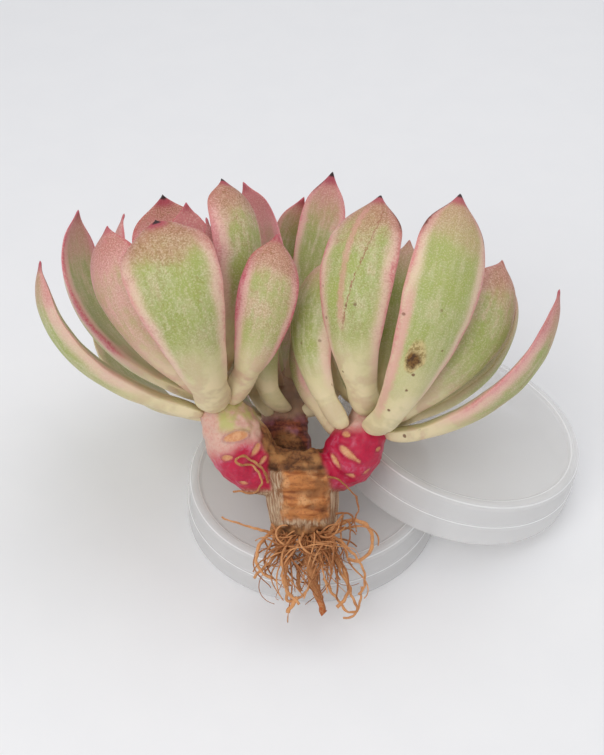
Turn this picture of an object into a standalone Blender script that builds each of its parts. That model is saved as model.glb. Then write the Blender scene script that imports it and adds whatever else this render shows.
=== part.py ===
"""A bare-root rosette succulent with three heads, leaning back over two upturned plastic lids.

Lengths in the tables are millimetres. The plant is laid out in its own frame (origin on the
trunk's top, Z along the trunk, Y to the back) and then leaned back over the lids.
"""

from math import asin, cos, pi, radians, sin

import bpy
from mathutils import Matrix, Vector
from mathutils.bvhtree import BVHTree
from mathutils.geometry import normal

MM = 0.001
GAP = 0.35  # clearance kept between neighbouring pieces

# Lids: closed end up, open end on the floor
LID_RADIUS = 35.0
LID_HEIGHT = 13.4
LID_WALL = 1.4
LID_STEP = 0.8  # how far the upper wall is set in from the lower
LID_RECESS = 0.9  # how far the top's middle lies below its ring
LID_TOP = 1.5  # thickness of the top
LID_SIDES = 48
FLAT_LID_AT = (2.8, LID_RADIUS - 19.0)  # its front edge stays in front of the trunk's foot
LIDS_APART = (1.12 * LID_RADIUS, 0.3143 * LID_RADIUS)  # from the flat lid's middle to the tilted one's
TILTED_LID_AT = (FLAT_LID_AT[0] + LIDS_APART[0], FLAT_LID_AT[1] + LIDS_APART[1])

# How the plant stands
LEAN = 43.0  # degrees back from upright
FOOT_GAP = 0.5  # between the trunk's foot and the flat lid's top

# Stem
TRUNK_RADIUS = 9.4
TRUNK_LENGTH = 17.0
FOOT_EDGE = 0.94  # where the foot's edge is, as a share of the length
FOOT_SHARE = 0.90  # the foot's radius, as a share of the trunk's
FOOT_BACK = 0.8  # how far the foot lies to the back of the trunk's line
ROOT_RADIUS = 0.8

# Leaves
LEAF_WIDTH = 1.0  # scale on every leaf's width
LEAF_THICKNESS = 1.0  # scale on every leaf's thickness

# Heads: where the leaves gather, and the shoot's direction there
HEADS = {
    "left": ((-21.0, -3.0, 18.0), (-0.12, 0.0, 1.0)),
    "right": ((16.5, -4.0, 12.5), (0.12, 0.0, 1.0)),
    "back": ((-5.0, 14.5, 18.0), (0.0, 0.40, 0.92)),
}
SHOOT_RADIUS = (5.6, 2.2)  # at the lowest and highest leaf
SHOOT_RISE = 9.0

# Stubs: stations (x, y, z, radius) from inside the trunk's top to below the head
STUBS = {
    "left": [
        (-5, 0, -1.5, 5.5),
        (-11, -1, 0.8, 7.4),
        (-14.5, -2, 4, 8.2),
        (-17, -2.7, 8, 8.3),
        (-19, -3, 12.5, 7.3),
    ],
    "right": [
        (4, 0, -0.5, 4.5),
        (8.5, -1, 0.5, 6.2),
        (11.5, -2.2, 2.5, 7.3),
        (13.8, -3.4, 6, 7.3),
        (15.6, -4, 9.5, 6.4),
    ],
    "back": [(-1, 2, -1, 5.0), (-3, 6.5, 2, 6.0), (-4.2, 9.5, 6.5, 6.5), (-4.8, 12, 12, 6.3)],
}

# Each leaf, oldest first: compass angle of its bend and of its tip about the shoot (0 right,
# 90 back), height of its foot, reach and rise of its bend, reach and rise of its tip, width,
# thickness, cupping
LEAVES = {
    "left": [
        (188, 194, 3, 41, 16, 40, 41, 23, 6.4, 0.16),
        (133, 122, 0, 54, 3, 53, 36, 24, 6.0, 0.18),
        (266, 250, 0, 50, 24, 26, 46, 27, 6.5, 0.14),
        (78, 78, -1, 38, 6, 42, 36, 21, 5.5, 0.18),
        (161, 158, 2, 46, 19, 35, 54, 23, 5.5, 0.16),
        (309, 340, 5, 30, 13, 33, 39, 17.5, 5.8, 0.18),
        (227, 223, 2, 37, 21, 29, 45, 22, 6.0, 0.18),
        (104, 104, 3, 38, 16, 40, 46, 22, 5.5, 0.18),
        (102, 110, 4, 34, 27, 28, 57, 26, 5.5, 0.18),
        (35, 45, 4, 24, 28, 17, 55, 17, 4.6, 0.16),
        (322, 320, 4, 30, 32, 13, 54, 22, 5.5, 0.15),
        (189, 183, 5, 30, 20, 19, 50, 19, 4.6, 0.18),
        (255, 250, 6, 18, 24, 10, 44, 15, 4.0, 0.15),
        (108, 108, 6, 16, 27, 10, 52, 16, 4.2, 0.16),
        (20, 30, 7, 12, 26, 5, 46, 12, 3.6, 0.14),
        (200, 190, 8, 9, 24, 3, 43, 10, 3.4, 0.12),
    ],
    "right": [
        (351, 350, -2, 42, 9, 44, 39, 22, 6.2, 0.14),
        (286, 306, -1, 47, 22, 24, 58, 22, 6.5, 0.14),
        (160, 154, 0, 24, 10, 24, 29, 18, 5.0, 0.16),
        (60, 60, -1, 34, 10, 40, 36, 22, 5.5, 0.16),
        (19, 20, 1, 42, 10, 36, 41, 22, 5.5, 0.18),
        (206, 190, 1, 32, 18, 20, 40, 20, 6.0, 0.18),
        (322, 340, 2, 39, 20, 30, 44, 22, 6.0, 0.18),
        (239, 228, 2, 44, 24, 13, 55, 23, 6.0, 0.15),
        (100, 98, 3, 30, 16, 30, 46, 21, 5.0, 0.18),
        (40, 40, 4, 30, 22, 24, 50, 20, 5.0, 0.16),
        (160, 160, 5, 18, 22, 13, 42, 15, 4.4, 0.16),
        (290, 333, 5, 15, 24, 6, 47, 13, 4.0, 0.14),
        (110, 110, 6, 18, 24, 12, 48, 15, 4.2, 0.14),
        (30, 30, 7, 14, 26, 6, 45, 12, 3.6, 0.14),
    ],
    "back": [
        (262, 258, -3, 22, 6, 22, 26, 16, 5.0, 0.18),
        (192, 200, -2, 19, 3, 20, 23, 17, 5.0, 0.18),
        (90, 90, -1, 24, 8, 32, 34, 21, 5.2, 0.16),
        (350, 346, -2, 18, 2, 21, 24, 18, 4.8, 0.16),
        (226, 246, 0, 22, 2, 24, 22, 17, 5.0, 0.18),
        (130, 128, 0, 26, 10, 32, 36, 20, 5.2, 0.16),
        (45, 45, 1, 25, 12, 28, 36, 19, 5.0, 0.16),
        (95, 95, 3, 22, 20, 22, 46, 18, 4.6, 0.16),
        (225, 286, 5, 10, 32, 20, 50, 14, 4.2, 0.16),
        (330, 304, 5, 10, 32, 24, 58, 15, 4.4, 0.16),
        (120, 120, 6, 14, 22, 9, 42, 12, 3.8, 0.14),
        (60, 70, 7, 10, 24, 4, 42, 11, 3.4, 0.14),
    ],
}

# A leaf's outline: place along it, share of the full width, share of the full thickness
OUTLINE = (
    (0.0, 0.36, 0.60),
    (0.22, 0.52, 1.0),
    (0.52, 0.98, 1.0),
    (0.78, 1.08, 0.74),
    (0.93, 0.66, 0.40),
)
# Its section: across, and towards the inner face, in half widths and thicknesses
SECTION = ((-1.1, 0.0), (-0.5, -0.66), (0.5, -0.66), (1.1, 0.0), (0.45, 0.34), (-0.45, 0.34))
SETTLING_ROUNDS = 600
SETTLING_STEP = 0.30

# Roots: thickness as a share of ROOT_RADIUS, then points: across and forward in trunk radii,
# and up from the trunk's foot in millimetres
ROOTS = {
    "root_main": (1.9, [(0.1, -0.2, -1), (0.2, -0.55, -7), (0.4, -0.75, -13), (0.65, -0.85, -18.5)]),
    "root_left": (1.2, [(-0.55, -0.3, -1), (-0.65, -0.75, -5), (-0.95, -0.95, -9), (-1.4, -0.95, -11)]),
    "root_left_thin": (0.8, [(-1.12, 0, 1), (-1.5, -0.3, 1), (-2.0, -0.55, 4), (-2.35, -0.65, 5)]),
    "root_left_curl": (
        0.9,
        [(-0.85, -0.55, -1), (-1.2, -0.95, -2), (-1.3, -1.25, -7), (-0.85, -1.3, -9.5)],
    ),
    "root_middle": (1.1, [(-0.1, -0.6, -1), (-0.3, -1.05, -5), (-0.4, -1.2, -11), (-0.1, -1.2, -16)]),
    "root_right": (1.2, [(0.55, -0.4, -1), (0.95, -0.75, -4), (1.28, -0.85, -10), (0.95, -1.05, -17)]),
    "root_right_loop": (
        1.0,
        [(1.08, -0.2, 1), (1.5, -0.4, 5), (1.9, -0.55, 3), (1.95, -0.6, -3), (1.5, -0.65, -5.5)],
    ),
    "root_right_thin": (
        0.8,
        [(0.75, -0.7, -1), (1.22, -1.05, -3), (1.6, -1.05, -9), (1.5, -1.15, -14)],
    ),
    "root_back": (1.2, [(0.2, 0.4, -1), (0.2, -0.1, -4.5), (-0.1, -0.35, -9), (0, -0.4, -14)]),
}
CURL_ON_STUB = (0.8, [(-15, -13.2, 4.2), (-18, -14.2, 2), (-17, -13, -2), (-13, -12, -3)])


# ---- Setting up ---------------------------------------------------------------------------


def clear_scene():
    for obj in list(bpy.data.objects):
        bpy.data.objects.remove(obj, do_unlink=True)


def new_collection(name):
    made = bpy.data.collections.new(name)
    bpy.context.scene.collection.children.link(made)
    return made


def new_material(name, color, roughness, alpha=1.0):
    made = bpy.data.materials.new(name)
    made.use_nodes = True
    shader = made.node_tree.nodes["Principled BSDF"]
    shader.inputs["Base Color"].default_value = (*color, 1.0)
    shader.inputs["Roughness"].default_value = roughness
    shader.inputs["Alpha"].default_value = alpha
    return made


def new_object(name, points, faces, home, material, matrix=None):
    mesh = bpy.data.meshes.new(name)
    mesh.from_pydata([Vector(p) * MM for p in points], [], faces)
    mesh.materials.append(material)
    obj = bpy.data.objects.new(name, mesh)
    if matrix is not None:
        obj.matrix_world = matrix
    home.objects.link(obj)
    return obj


def in_metres(matrix):
    """The same placing, for meshes already scaled to metres."""
    return Matrix.Translation(matrix.translation * MM) @ matrix.to_3x3().to_4x4()


# ---- Placing ------------------------------------------------------------------------------


def trunk_top():
    """Height of the trunk's top when its foot's back edge is just above the flat lid."""
    lean = radians(LEAN)
    drop = TRUNK_LENGTH * FOOT_EDGE * cos(lean) + (TRUNK_RADIUS * FOOT_SHARE + FOOT_BACK) * sin(lean)
    return LID_HEIGHT - LID_RECESS + FOOT_GAP + drop


def plant_placing():
    return Matrix.Translation((0, 0, trunk_top())) @ Matrix.Rotation(radians(-LEAN), 4, "X")


def flat_lid_placing():
    return Matrix.Translation((*FLAT_LID_AT, 0))


def tilted_lid_placing():
    """The rim's far side is on the floor; where the two lids cross in plan, it lies on the flat lid."""
    apart = Vector(LIDS_APART)
    tilt = asin((LID_HEIGHT + GAP) / (LID_RADIUS + apart.length / 2))
    axis = Vector((-apart.y, apart.x, 0))
    lift = LID_RADIUS * sin(tilt)
    return Matrix.Translation((*TILTED_LID_AT, lift)) @ Matrix.Rotation(tilt, 4, axis)


# ---- Lids ---------------------------------------------------------------------------------


def lid_profile():
    """Half section of a lid, from the axis under the top, out round the wall, back over the top."""
    r, h, w, s = LID_RADIUS, LID_HEIGHT, LID_WALL, LID_STEP
    return [
        (0.0, h - LID_RECESS - LID_TOP),
        (r - s - w - 2.0, h - LID_RECESS - LID_TOP),
        (r - s - w, h - LID_RECESS - LID_TOP - 0.8),
        (r - s - w, h * 0.5),
        (r - w, h * 0.4),
        (r - w, 0.0),
        (r, 0.0),
        (r, h * 0.43),
        (r - 0.3, h * 0.48),
        (r - s, h * 0.50),
        (r - s, h - 1.4),
        (r - s - 0.5, h - 0.4),
        (r - s - 1.4, h),
        (r - s - 2.8, h),
        (r - s - 3.6, h - LID_RECESS),
        (0.0, h - LID_RECESS),
    ]


def make_lid(name, placing, home, material):
    profile = lid_profile()
    edges = [(i, i + 1) for i in range(len(profile) - 1)]
    mesh = bpy.data.meshes.new(name)
    mesh.from_pydata([(x * MM, 0, z * MM) for x, z in profile], edges, [])
    mesh.materials.append(material)
    obj = bpy.data.objects.new(name, mesh)
    spin = obj.modifiers.new("Spin", "SCREW")
    spin.steps = spin.render_steps = LID_SIDES
    spin.use_merge_vertices = True
    spin.merge_threshold = 1e-5
    spin.use_smooth_shade = False
    spin.use_normal_flip = True
    obj.matrix_world = in_metres(placing)
    home.objects.link(obj)
    return obj


# ---- Stem ---------------------------------------------------------------------------------


def shoot_radius(height):
    low, high = SHOOT_RADIUS
    share = min(max(height / SHOOT_RISE, -0.4), 1.0)
    return low + (high - low) * share


def tube(stations, sides=14):
    """A closed tube through (centre, direction, radius, squash) stations."""
    points, faces = [], []
    for centre, direction, radius, ripple in stations:
        direction = Vector(direction).normalized()
        across = direction.cross(Vector((0, 1, 0))).normalized()
        other = direction.cross(across)
        for i in range(sides):
            a = 2 * pi * i / sides
            r = radius * (1 + ripple * (0.6 * sin(3 * a + radius) + 0.4 * sin(5 * a - radius)))
            points.append(Vector(centre) + across * (r * cos(a)) + other * (r * sin(a)))
    for j in range(len(stations) - 1):
        for i in range(sides):
            k = (i + 1) % sides
            a, b = j * sides, (j + 1) * sides
            faces.append((a + i, a + k, b + k, b + i))
    faces.append(tuple(reversed(range(sides))))
    last = (len(stations) - 1) * sides
    faces.append(tuple(range(last, last + sides)))
    return points, faces


def trunk_stations():
    up, r, n = (0, 0, 1), TRUNK_RADIUS, TRUNK_LENGTH
    return [
        ((1.0, FOOT_BACK, -n), up, r * 0.72, 0.10),
        ((0.8, FOOT_BACK, -n * FOOT_EDGE), up, r * FOOT_SHARE, 0.08),
        ((0.5, 0.4, -n * 0.75), up, r * 0.93, 0.05),
        ((0.2, 0, -n * 0.50), up, r * 0.98, 0.04),
        ((0.0, 0, -n * 0.30), up, r * 1.0, 0.04),
        ((0.4, 0, -n * 0.22), up, r * 1.10, 0.06),
        ((0.6, 0, -n * 0.05), up, r * 1.18, 0.07),
        ((0.6, 0, n * 0.14), up, r * 1.06, 0.08),
        ((0.4, 0, n * 0.28), up, r * 0.78, 0.10),
    ]


def stub_stations(head):
    """From inside the trunk's top out to the head, then up the shoot inside its leaves."""
    centre, axis = (Vector(v) for v in HEADS[head])
    axis.normalize()
    path = [(Vector(station[:3]), station[3]) for station in STUBS[head]]
    path += [(centre + axis * h, shoot_radius(h) - 0.3) for h in (-1.5, 1.0, 5.0, SHOOT_RISE)]
    stations = []
    for i, (place, radius) in enumerate(path):
        before, after = path[max(i - 1, 0)][0], path[min(i + 1, len(path) - 1)][0]
        stations.append((place, after - before, radius, 0.02))
    return stations


def join(obj, other):
    other.hide_render = True
    other.display_type = "WIRE"
    union = obj.modifiers.new("Join " + other.name, "BOOLEAN")
    union.operation = "UNION"
    union.solver = "EXACT"
    union.object = other


def make_stem(home, helpers, material):
    placing = in_metres(plant_placing())
    stem = new_object("stem", *tube(trunk_stations(), 20), home, material, placing)
    for head in HEADS:
        stub = new_object("stub_" + head, *tube(stub_stations(head)), helpers, material, placing)
        join(stem, stub)
    return stem


# ---- Leaves -------------------------------------------------------------------------------


class Leaf:
    """One leaf: a midrib bent from foot over knee to tip, and the section swept along it."""

    def __init__(self, name, head, row):
        self.name, self.head = name, head
        bend, turn, low, reach, rise, tip_reach, tip_rise, width, thickness, cup = row
        centre, axis = HEADS[head]
        axis = Vector(axis).normalized()
        right = Vector((1, 0, 0)) - axis * axis.x
        right.normalize()
        back = axis.cross(right)

        def place(angle, radius, height):
            a = radians(angle)
            return Vector(centre) + (right * cos(a) + back * sin(a)) * radius + axis * height

        self.axis = axis
        self.centre = Vector(centre)
        self.foot = place(bend, shoot_radius(low) + 1.2, low)
        self.knee = place(bend, reach, rise)
        self.tip = place(turn, tip_reach, tip_rise)
        self.width = width * LEAF_WIDTH
        self.thickness = thickness * LEAF_THICKNESS
        self.cup = cup

    def at(self, t):
        return self.foot * (1 - t) ** 2 + self.knee * (2 * t * (1 - t)) + self.tip * t**2

    def frame(self, t):
        """Directions across the leaf and towards its inner face."""
        along = (self.knee - self.foot) * (1 - t) + (self.tip - self.knee) * t
        along.normalize()
        across = (self.knee - self.foot).cross(self.tip - self.knee).normalized()
        inward = across.cross(along)
        if inward.dot((self.foot + self.tip) / 2 - self.knee) < 0:
            across, inward = -across, -inward
        return across, inward

    def cage(self, grow=0.0):
        points, n = [], len(SECTION)
        for t, wide, thick in OUTLINE:
            across, inward = self.frame(t)
            half = self.width * wide / 2
            deep = self.thickness * thick
            curl = self.cup * self.width * wide * (0.4 + 0.6 * min(t * 2, 1.0))
            for u, v in SECTION:
                side = u * half + (grow if u > 0 else -grow)
                level = v * deep + curl * (u * u - 0.4) + (grow if v > 0 else -grow if v < 0 else 0)
                points.append(self.at(t) + across * side + inward * level)
        points.append(self.at(1.0) + (self.tip - self.at(0.93)).normalized() * grow)
        faces = [tuple(range(n))]
        for j in range(len(OUTLINE) - 1):
            for i in range(n):
                k = (i + 1) % n
                faces.append((j * n + k, j * n + i, (j + 1) * n + i, (j + 1) * n + k))
        last = (len(OUTLINE) - 1) * n
        faces += [(last + (i + 1) % n, last + i, len(points) - 1) for i in range(n)]
        return points, faces

    def push(self, t, by):
        self.foot = self.foot + by * (0.6 * (1 - t) ** 2)
        self.knee = self.knee + by * (2 * t * (1 - t) + 0.15)
        self.tip = self.tip + by * (t * t + 0.1)


def ring_of(face):
    """Place along the leaf of one cage face."""
    n = len(SECTION)
    row = 0 if face == 0 else min((face - 1) // n, len(OUTLINE) - 1)
    return min(OUTLINE[row][0] + 0.1, 1.0)


def facing(cage, faces):
    """The way that these faces of a cage look, on average."""
    points, polygons = cage
    total = Vector((0, 0, 0))
    for face in faces:
        total += normal([points[v] for v in polygons[face]])
    return total / len(faces)


def part_leaves(a, b, cage_a, cage_b, hits):
    """Moves two meeting leaves apart, a the older of a head's two."""
    ta = sum(ring_of(i) for i, _ in hits) / len(hits)
    tb = sum(ring_of(j) for _, j in hits) / len(hits)
    way = facing(cage_a, [i for i, _ in hits]) - facing(cage_b, [j for _, j in hits])
    way += (b.at(tb) - a.at(ta)).normalized() * 0.6
    if a.head == b.head:
        way += a.frame(ta)[1] * 0.5
    way.normalize()
    share = b.width**3 / (a.width**3 + b.width**3)  # the smaller leaf gives way the more
    a.push(ta, way * (-2 * share * SETTLING_STEP))
    b.push(tb, way * (2 * (1 - share) * SETTLING_STEP))


def settle(leaves, lids, stem):
    """Moves leaves that meet a neighbour, the stem, a lid or the floor until nothing meets."""
    up = plant_placing().to_3x3().inverted() @ Vector((0, 0, 1))
    for _ in range(SETTLING_ROUNDS):
        cages = [leaf.cage(GAP / 2) for leaf in leaves]
        trees = [BVHTree.FromPolygons(*cage) for cage in cages]
        met = 0
        for i, a in enumerate(leaves):
            for j in range(i + 1, len(leaves)):
                hits = trees[i].overlap(trees[j])
                if hits:
                    part_leaves(a, leaves[j], cages[i], cages[j], hits)
                    met += 1
            for solid in lids:
                hits = trees[i].overlap(solid)
                if hits:
                    a.push(sum(ring_of(f) for f, _ in hits) / len(hits), up * SETTLING_STEP)
                    met += 1
            hits = trees[i].overlap(stem)
            if hits:
                t = sum(ring_of(f) for f, _ in hits) / len(hits)
                away = a.at(0.5) - a.centre
                a.push(t, away.normalized() * SETTLING_STEP)
                met += 1
        if not met:
            break
    return met


def make_leaves(home, material, lids, stem):
    leaves = []
    for head, rows in LEAVES.items():
        for i, row in enumerate(rows):
            leaves.append(Leaf(f"leaf_{head}_{i + 1:02d}", head, row))
    left_over = settle(leaves, lids, stem)
    if left_over:
        print("leaves still meeting:", left_over)
    for leaf in leaves:
        obj = new_object(leaf.name, *leaf.cage(), home, material, in_metres(plant_placing()))
        sharp = obj.data.attributes.new("crease_vert", "FLOAT", "POINT")
        sharp.data[-1].value = 1.0  # the tip keeps its point
        smooth = obj.modifiers.new("Smooth", "SUBSURF")
        smooth.levels = smooth.render_levels = 1
        obj.data.shade_smooth()


# ---- Roots --------------------------------------------------------------------------------


def make_root(name, thickness, path, home, material):
    curve = bpy.data.curves.new(name, "CURVE")
    curve.dimensions = "3D"
    curve.bevel_depth = ROOT_RADIUS * thickness * MM
    curve.bevel_resolution = 1
    curve.resolution_u = 4
    curve.use_fill_caps = True
    spline = curve.splines.new("BEZIER")
    spline.bezier_points.add(len(path) - 1)
    for i, (point, place) in enumerate(zip(spline.bezier_points, path)):
        point.co = Vector(place) * MM
        point.handle_left_type = point.handle_right_type = "AUTO"
        point.radius = 1.0 - 0.5 * i / (len(path) - 1)
    curve.materials.append(material)
    obj = bpy.data.objects.new(name, curve)
    obj.matrix_world = in_metres(plant_placing())
    home.objects.link(obj)


# ---- The object ---------------------------------------------------------------------------


def solid_of(obj, into):
    """The evaluated object as a search tree, in millimetres of the plant's frame."""
    graph = bpy.context.evaluated_depsgraph_get()
    seen = obj.evaluated_get(graph)
    mesh = seen.to_mesh()
    points = [into @ (seen.matrix_world @ v.co / MM) for v in mesh.vertices]
    faces = [tuple(p.vertices) for p in mesh.polygons]
    seen.to_mesh_clear()
    return BVHTree.FromPolygons(points, faces)


def centre_on_floor(home, helpers):
    """Moves the whole object so that the world's origin is under the middle of its box."""
    graph = bpy.context.evaluated_depsgraph_get()
    points = []
    for obj in home.objects:
        seen = obj.evaluated_get(graph)
        points += [seen.matrix_world @ v.co for v in seen.to_mesh().vertices]
        seen.to_mesh_clear()
    lows = [min(point[i] for point in points) for i in range(3)]
    highs = [max(point[i] for point in points) for i in range(3)]
    shift = Matrix.Translation([-(lows[0] + highs[0]) / 2, -(lows[1] + highs[1]) / 2, -lows[2]])
    for obj in list(home.objects) + list(helpers.objects):
        obj.matrix_world = shift @ obj.matrix_world


def floor_tree(into):
    corners = [(-200, -200, 0.2), (200, -200, 0.2), (200, 200, 0.2), (-200, 200, 0.2)]
    return BVHTree.FromPolygons([into @ Vector(c) for c in corners], [(0, 1, 2, 3)])


def main():
    clear_scene()
    plant = new_collection("bare_root_succulent")
    helpers = new_collection("helpers")
    helpers.hide_render = True
    plastic = new_material("frosted_plastic", (0.78, 0.78, 0.76), 0.4, 0.45)
    bark = new_material("bark", (0.36, 0.20, 0.10), 0.8)
    skin = new_material("leaf_skin", (0.45, 0.46, 0.24), 0.5)
    fibre = new_material("root_fibre", (0.42, 0.22, 0.08), 0.85)

    flat = make_lid("lid_flat", flat_lid_placing(), plant, plastic)
    tilted = make_lid("lid_tilted", tilted_lid_placing(), plant, plastic)
    stem = make_stem(plant, helpers, bark)
    bpy.context.view_layer.update()

    into = plant_placing().inverted()
    lids = [solid_of(flat, into), solid_of(tilted, into), floor_tree(into)]
    make_leaves(plant, skin, lids, solid_of(stem, into))
    for name, (thickness, path) in ROOTS.items():
        placed = [(x * TRUNK_RADIUS, y * TRUNK_RADIUS, z - TRUNK_LENGTH) for x, y, z in path]
        make_root(name, thickness, placed, plant, fibre)
    make_root("root_stub", *CURL_ON_STUB, plant, fibre)
    bpy.context.view_layer.update()
    centre_on_floor(plant, helpers)


main()
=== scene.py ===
"""A bare-root rosette succulent with three heads, leaning back over two upturned frosted lids."""

from heapq import heappop, heappush
from math import asin, cos, pi, radians, sin

import bpy
import numpy as np
from bpy.props import FloatProperty, FloatVectorProperty, IntProperty, PointerProperty
from mathutils import Matrix, Quaternion, Vector, noise
from mathutils.bvhtree import BVHTree


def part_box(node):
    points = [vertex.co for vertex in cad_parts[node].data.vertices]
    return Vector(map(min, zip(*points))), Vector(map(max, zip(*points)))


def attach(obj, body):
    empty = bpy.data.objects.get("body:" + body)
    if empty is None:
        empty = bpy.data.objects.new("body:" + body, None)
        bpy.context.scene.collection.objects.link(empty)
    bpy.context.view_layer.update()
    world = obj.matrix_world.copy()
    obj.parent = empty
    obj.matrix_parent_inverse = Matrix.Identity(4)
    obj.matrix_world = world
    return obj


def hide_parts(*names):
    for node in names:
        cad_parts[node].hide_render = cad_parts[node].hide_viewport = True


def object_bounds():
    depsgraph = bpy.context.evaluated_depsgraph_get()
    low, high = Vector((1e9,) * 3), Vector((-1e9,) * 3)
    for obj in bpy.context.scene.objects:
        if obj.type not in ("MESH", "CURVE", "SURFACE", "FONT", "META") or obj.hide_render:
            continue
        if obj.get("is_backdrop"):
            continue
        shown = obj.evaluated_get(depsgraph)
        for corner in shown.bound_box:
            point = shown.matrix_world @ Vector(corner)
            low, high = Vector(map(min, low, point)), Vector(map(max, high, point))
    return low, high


bl_info = {
    "name": "Bare-root Succulent",
    "version": (1, 0, 0),
    "blender": (4, 5, 0),
    "location": "View3D > Sidebar > Succulent",
    "description": "Builds a bare-root rosette succulent, its two lids and its stage",
    "category": "Add Mesh",
}

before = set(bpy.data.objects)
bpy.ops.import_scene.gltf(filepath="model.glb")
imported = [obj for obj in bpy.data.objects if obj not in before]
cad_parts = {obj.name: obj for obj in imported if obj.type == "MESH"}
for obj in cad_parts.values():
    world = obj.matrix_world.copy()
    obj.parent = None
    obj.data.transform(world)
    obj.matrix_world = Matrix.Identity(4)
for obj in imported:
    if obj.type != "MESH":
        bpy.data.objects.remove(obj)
CAD_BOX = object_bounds()

MM = 0.001

# The plant is laid out in its own frame, in millimetres: origin on the trunk's top, Z along the
# trunk, Y to the back. It leans back over the lids.
LEAN = radians(43)
TRUNK_TOP = 31.0  # height of the frame's origin above the floor
FLAT_LID_AT = (2.8, 16.0)  # the flat lid's middle, from below the frame's origin
LID_RADIUS = 35.0
LID_HEIGHT = 13.4
LID_GAP = 0.35  # between the tilted lid's rim and the flat lid
LID_RECESS = 0.9  # how far a lid's top lies below its ring
LID_TOP_LEVEL = LID_HEIGHT - LID_RECESS
LIDS_APART = Vector((1.12, 0.3143)) * LID_RADIUS  # from the flat lid's middle to the tilted one's
TRUNK_RADIUS = 9.4

low, high = (Vector(corner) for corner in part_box("lid_flat"))
FLAT_LID = (low + high) / 2
PLACING = Matrix.Translation(
    (FLAT_LID.x - FLAT_LID_AT[0] * MM, FLAT_LID.y - FLAT_LID_AT[1] * MM, TRUNK_TOP * MM)
) @ Matrix.Rotation(-LEAN, 4, "X")

# Where each head's leaves gather
HEADS = {"left": (-21.0, -3.0, 18.0), "right": (16.5, -4.0, 12.5), "back": (-5.0, 14.5, 18.0)}

# Where each head's stub leaves the trunk
STUB_FEET = {"left": (-10.0, -1.0, 1.0), "right": (8.0, -1.0, 1.0), "back": (-2.5, 5.0, 2.0)}

# Where a leaf runs into its shoot, as a step from the leaf's foot, for a whole head or one leaf
FOOT_DROP = {
    "left": np.array((0.4, -0.5, -2.2)),
    "right": np.array((-0.4, -0.5, -2.2)),
    "back": np.array((0.2, -3.0, -6.0)),
    "back_01": np.array((6.5, 3.5, -4.0)),
    "back_04": np.array((-3.5, -1.0, -5.0)),
    "back_05": np.array((3.0, -1.0, -8.5)),
}
FOOT_DEPTH = 0.9  # how far it goes in under the shoot's surface

# What sets one leaf apart, from 0 to 1: pink blush, speckles, paleness, pink margin, dark tip
LEAF_LOOKS = {
    "left_01": (0.25, 0.30, 0.60, 0.70, 0.7),
    "left_02": (0.20, 0.15, 0.60, 0.30, 0.4),
    "left_03": (0.28, 0.85, 0.30, 0.80, 1.0),
    "left_05": (0.35, 0.15, 0.40, 0.90, 0.6),
    "left_06": (0.55, 0.95, 0.35, 0.95, 0.8),
    "left_07": (0.85, 0.60, 0.60, 1.00, 0.6),
    "left_09": (0.90, 0.75, 0.50, 0.95, 1.0),
    "left_10": (0.90, 0.20, 0.60, 0.80, 0.6),
    "left_11": (0.50, 1.00, 0.75, 0.85, 1.0),
    "left_12": (0.60, 0.30, 0.70, 0.90, 0.5),
    "left_13": (0.95, 0.40, 0.50, 0.90, 0.6),
    "left_14": (0.95, 0.30, 0.50, 0.90, 0.6),
    "left_15": (0.95, 0.30, 0.50, 0.90, 0.6),
    "left_16": (0.95, 0.30, 0.50, 0.90, 0.6),
    "right_01": (0.45, 0.45, 0.45, 0.80, 0.6),
    "right_02": (0.10, 0.40, 0.30, 0.85, 1.0),
    "right_05": (0.10, 0.35, 0.05, 0.30, 0.4),
    "right_06": (0.20, 0.25, 0.80, 0.80, 0.5),
    "right_07": (0.45, 0.65, 0.35, 0.60, 0.4),
    "right_08": (0.30, 0.85, 0.40, 0.85, 1.0),
    "right_11": (0.20, 0.20, 0.50, 0.50, 0.5),
    "right_12": (0.10, 0.15, 0.40, 0.30, 0.4),
    "back_01": (0.02, 0.20, 0.00, 0.10, 0.3),
    "back_02": (0.10, 0.15, 0.50, 0.20, 0.3),
    "back_04": (0.20, 0.15, 0.60, 0.25, 0.3),
    "back_05": (0.10, 0.15, 0.50, 0.20, 0.3),
    "back_09": (0.25, 0.15, 0.95, 0.80, 0.8),
    "back_10": (0.45, 0.20, 1.00, 0.80, 1.0),
}

# Lengthwise marks on outer faces: how far across a thin brown line starts and ends, how far
# across a pink band lies, and from and to where both run along the leaf. OFF is off the leaf.
OFF = 3.0
LINES = {
    "right_08": (-0.15, 0.52, -0.22, 0.38, 0.93),
    "right_02": (OFF, OFF, -0.80, 0.05, 0.60),
    "right_01": (-0.30, -0.38, 0.05, 0.35, 0.80),
}

# Leaves whose margins have dried dark near the tip: from where along the leaf, on which sides
SCORCHED = {"right_02": (0.84, -1, 1), "right_08": (0.86, 1), "back_10": (0.90, 1)}

# Leaves with brown flecks, and the one with a corky scar: leaf, along, across, radius
FLECKED = ("right_06", "right_08", "right_02", "right_01", "left_02", "back_10", "back_04")
BLEMISH = ("right_02", 0.375, -0.26, 2.9)

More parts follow.
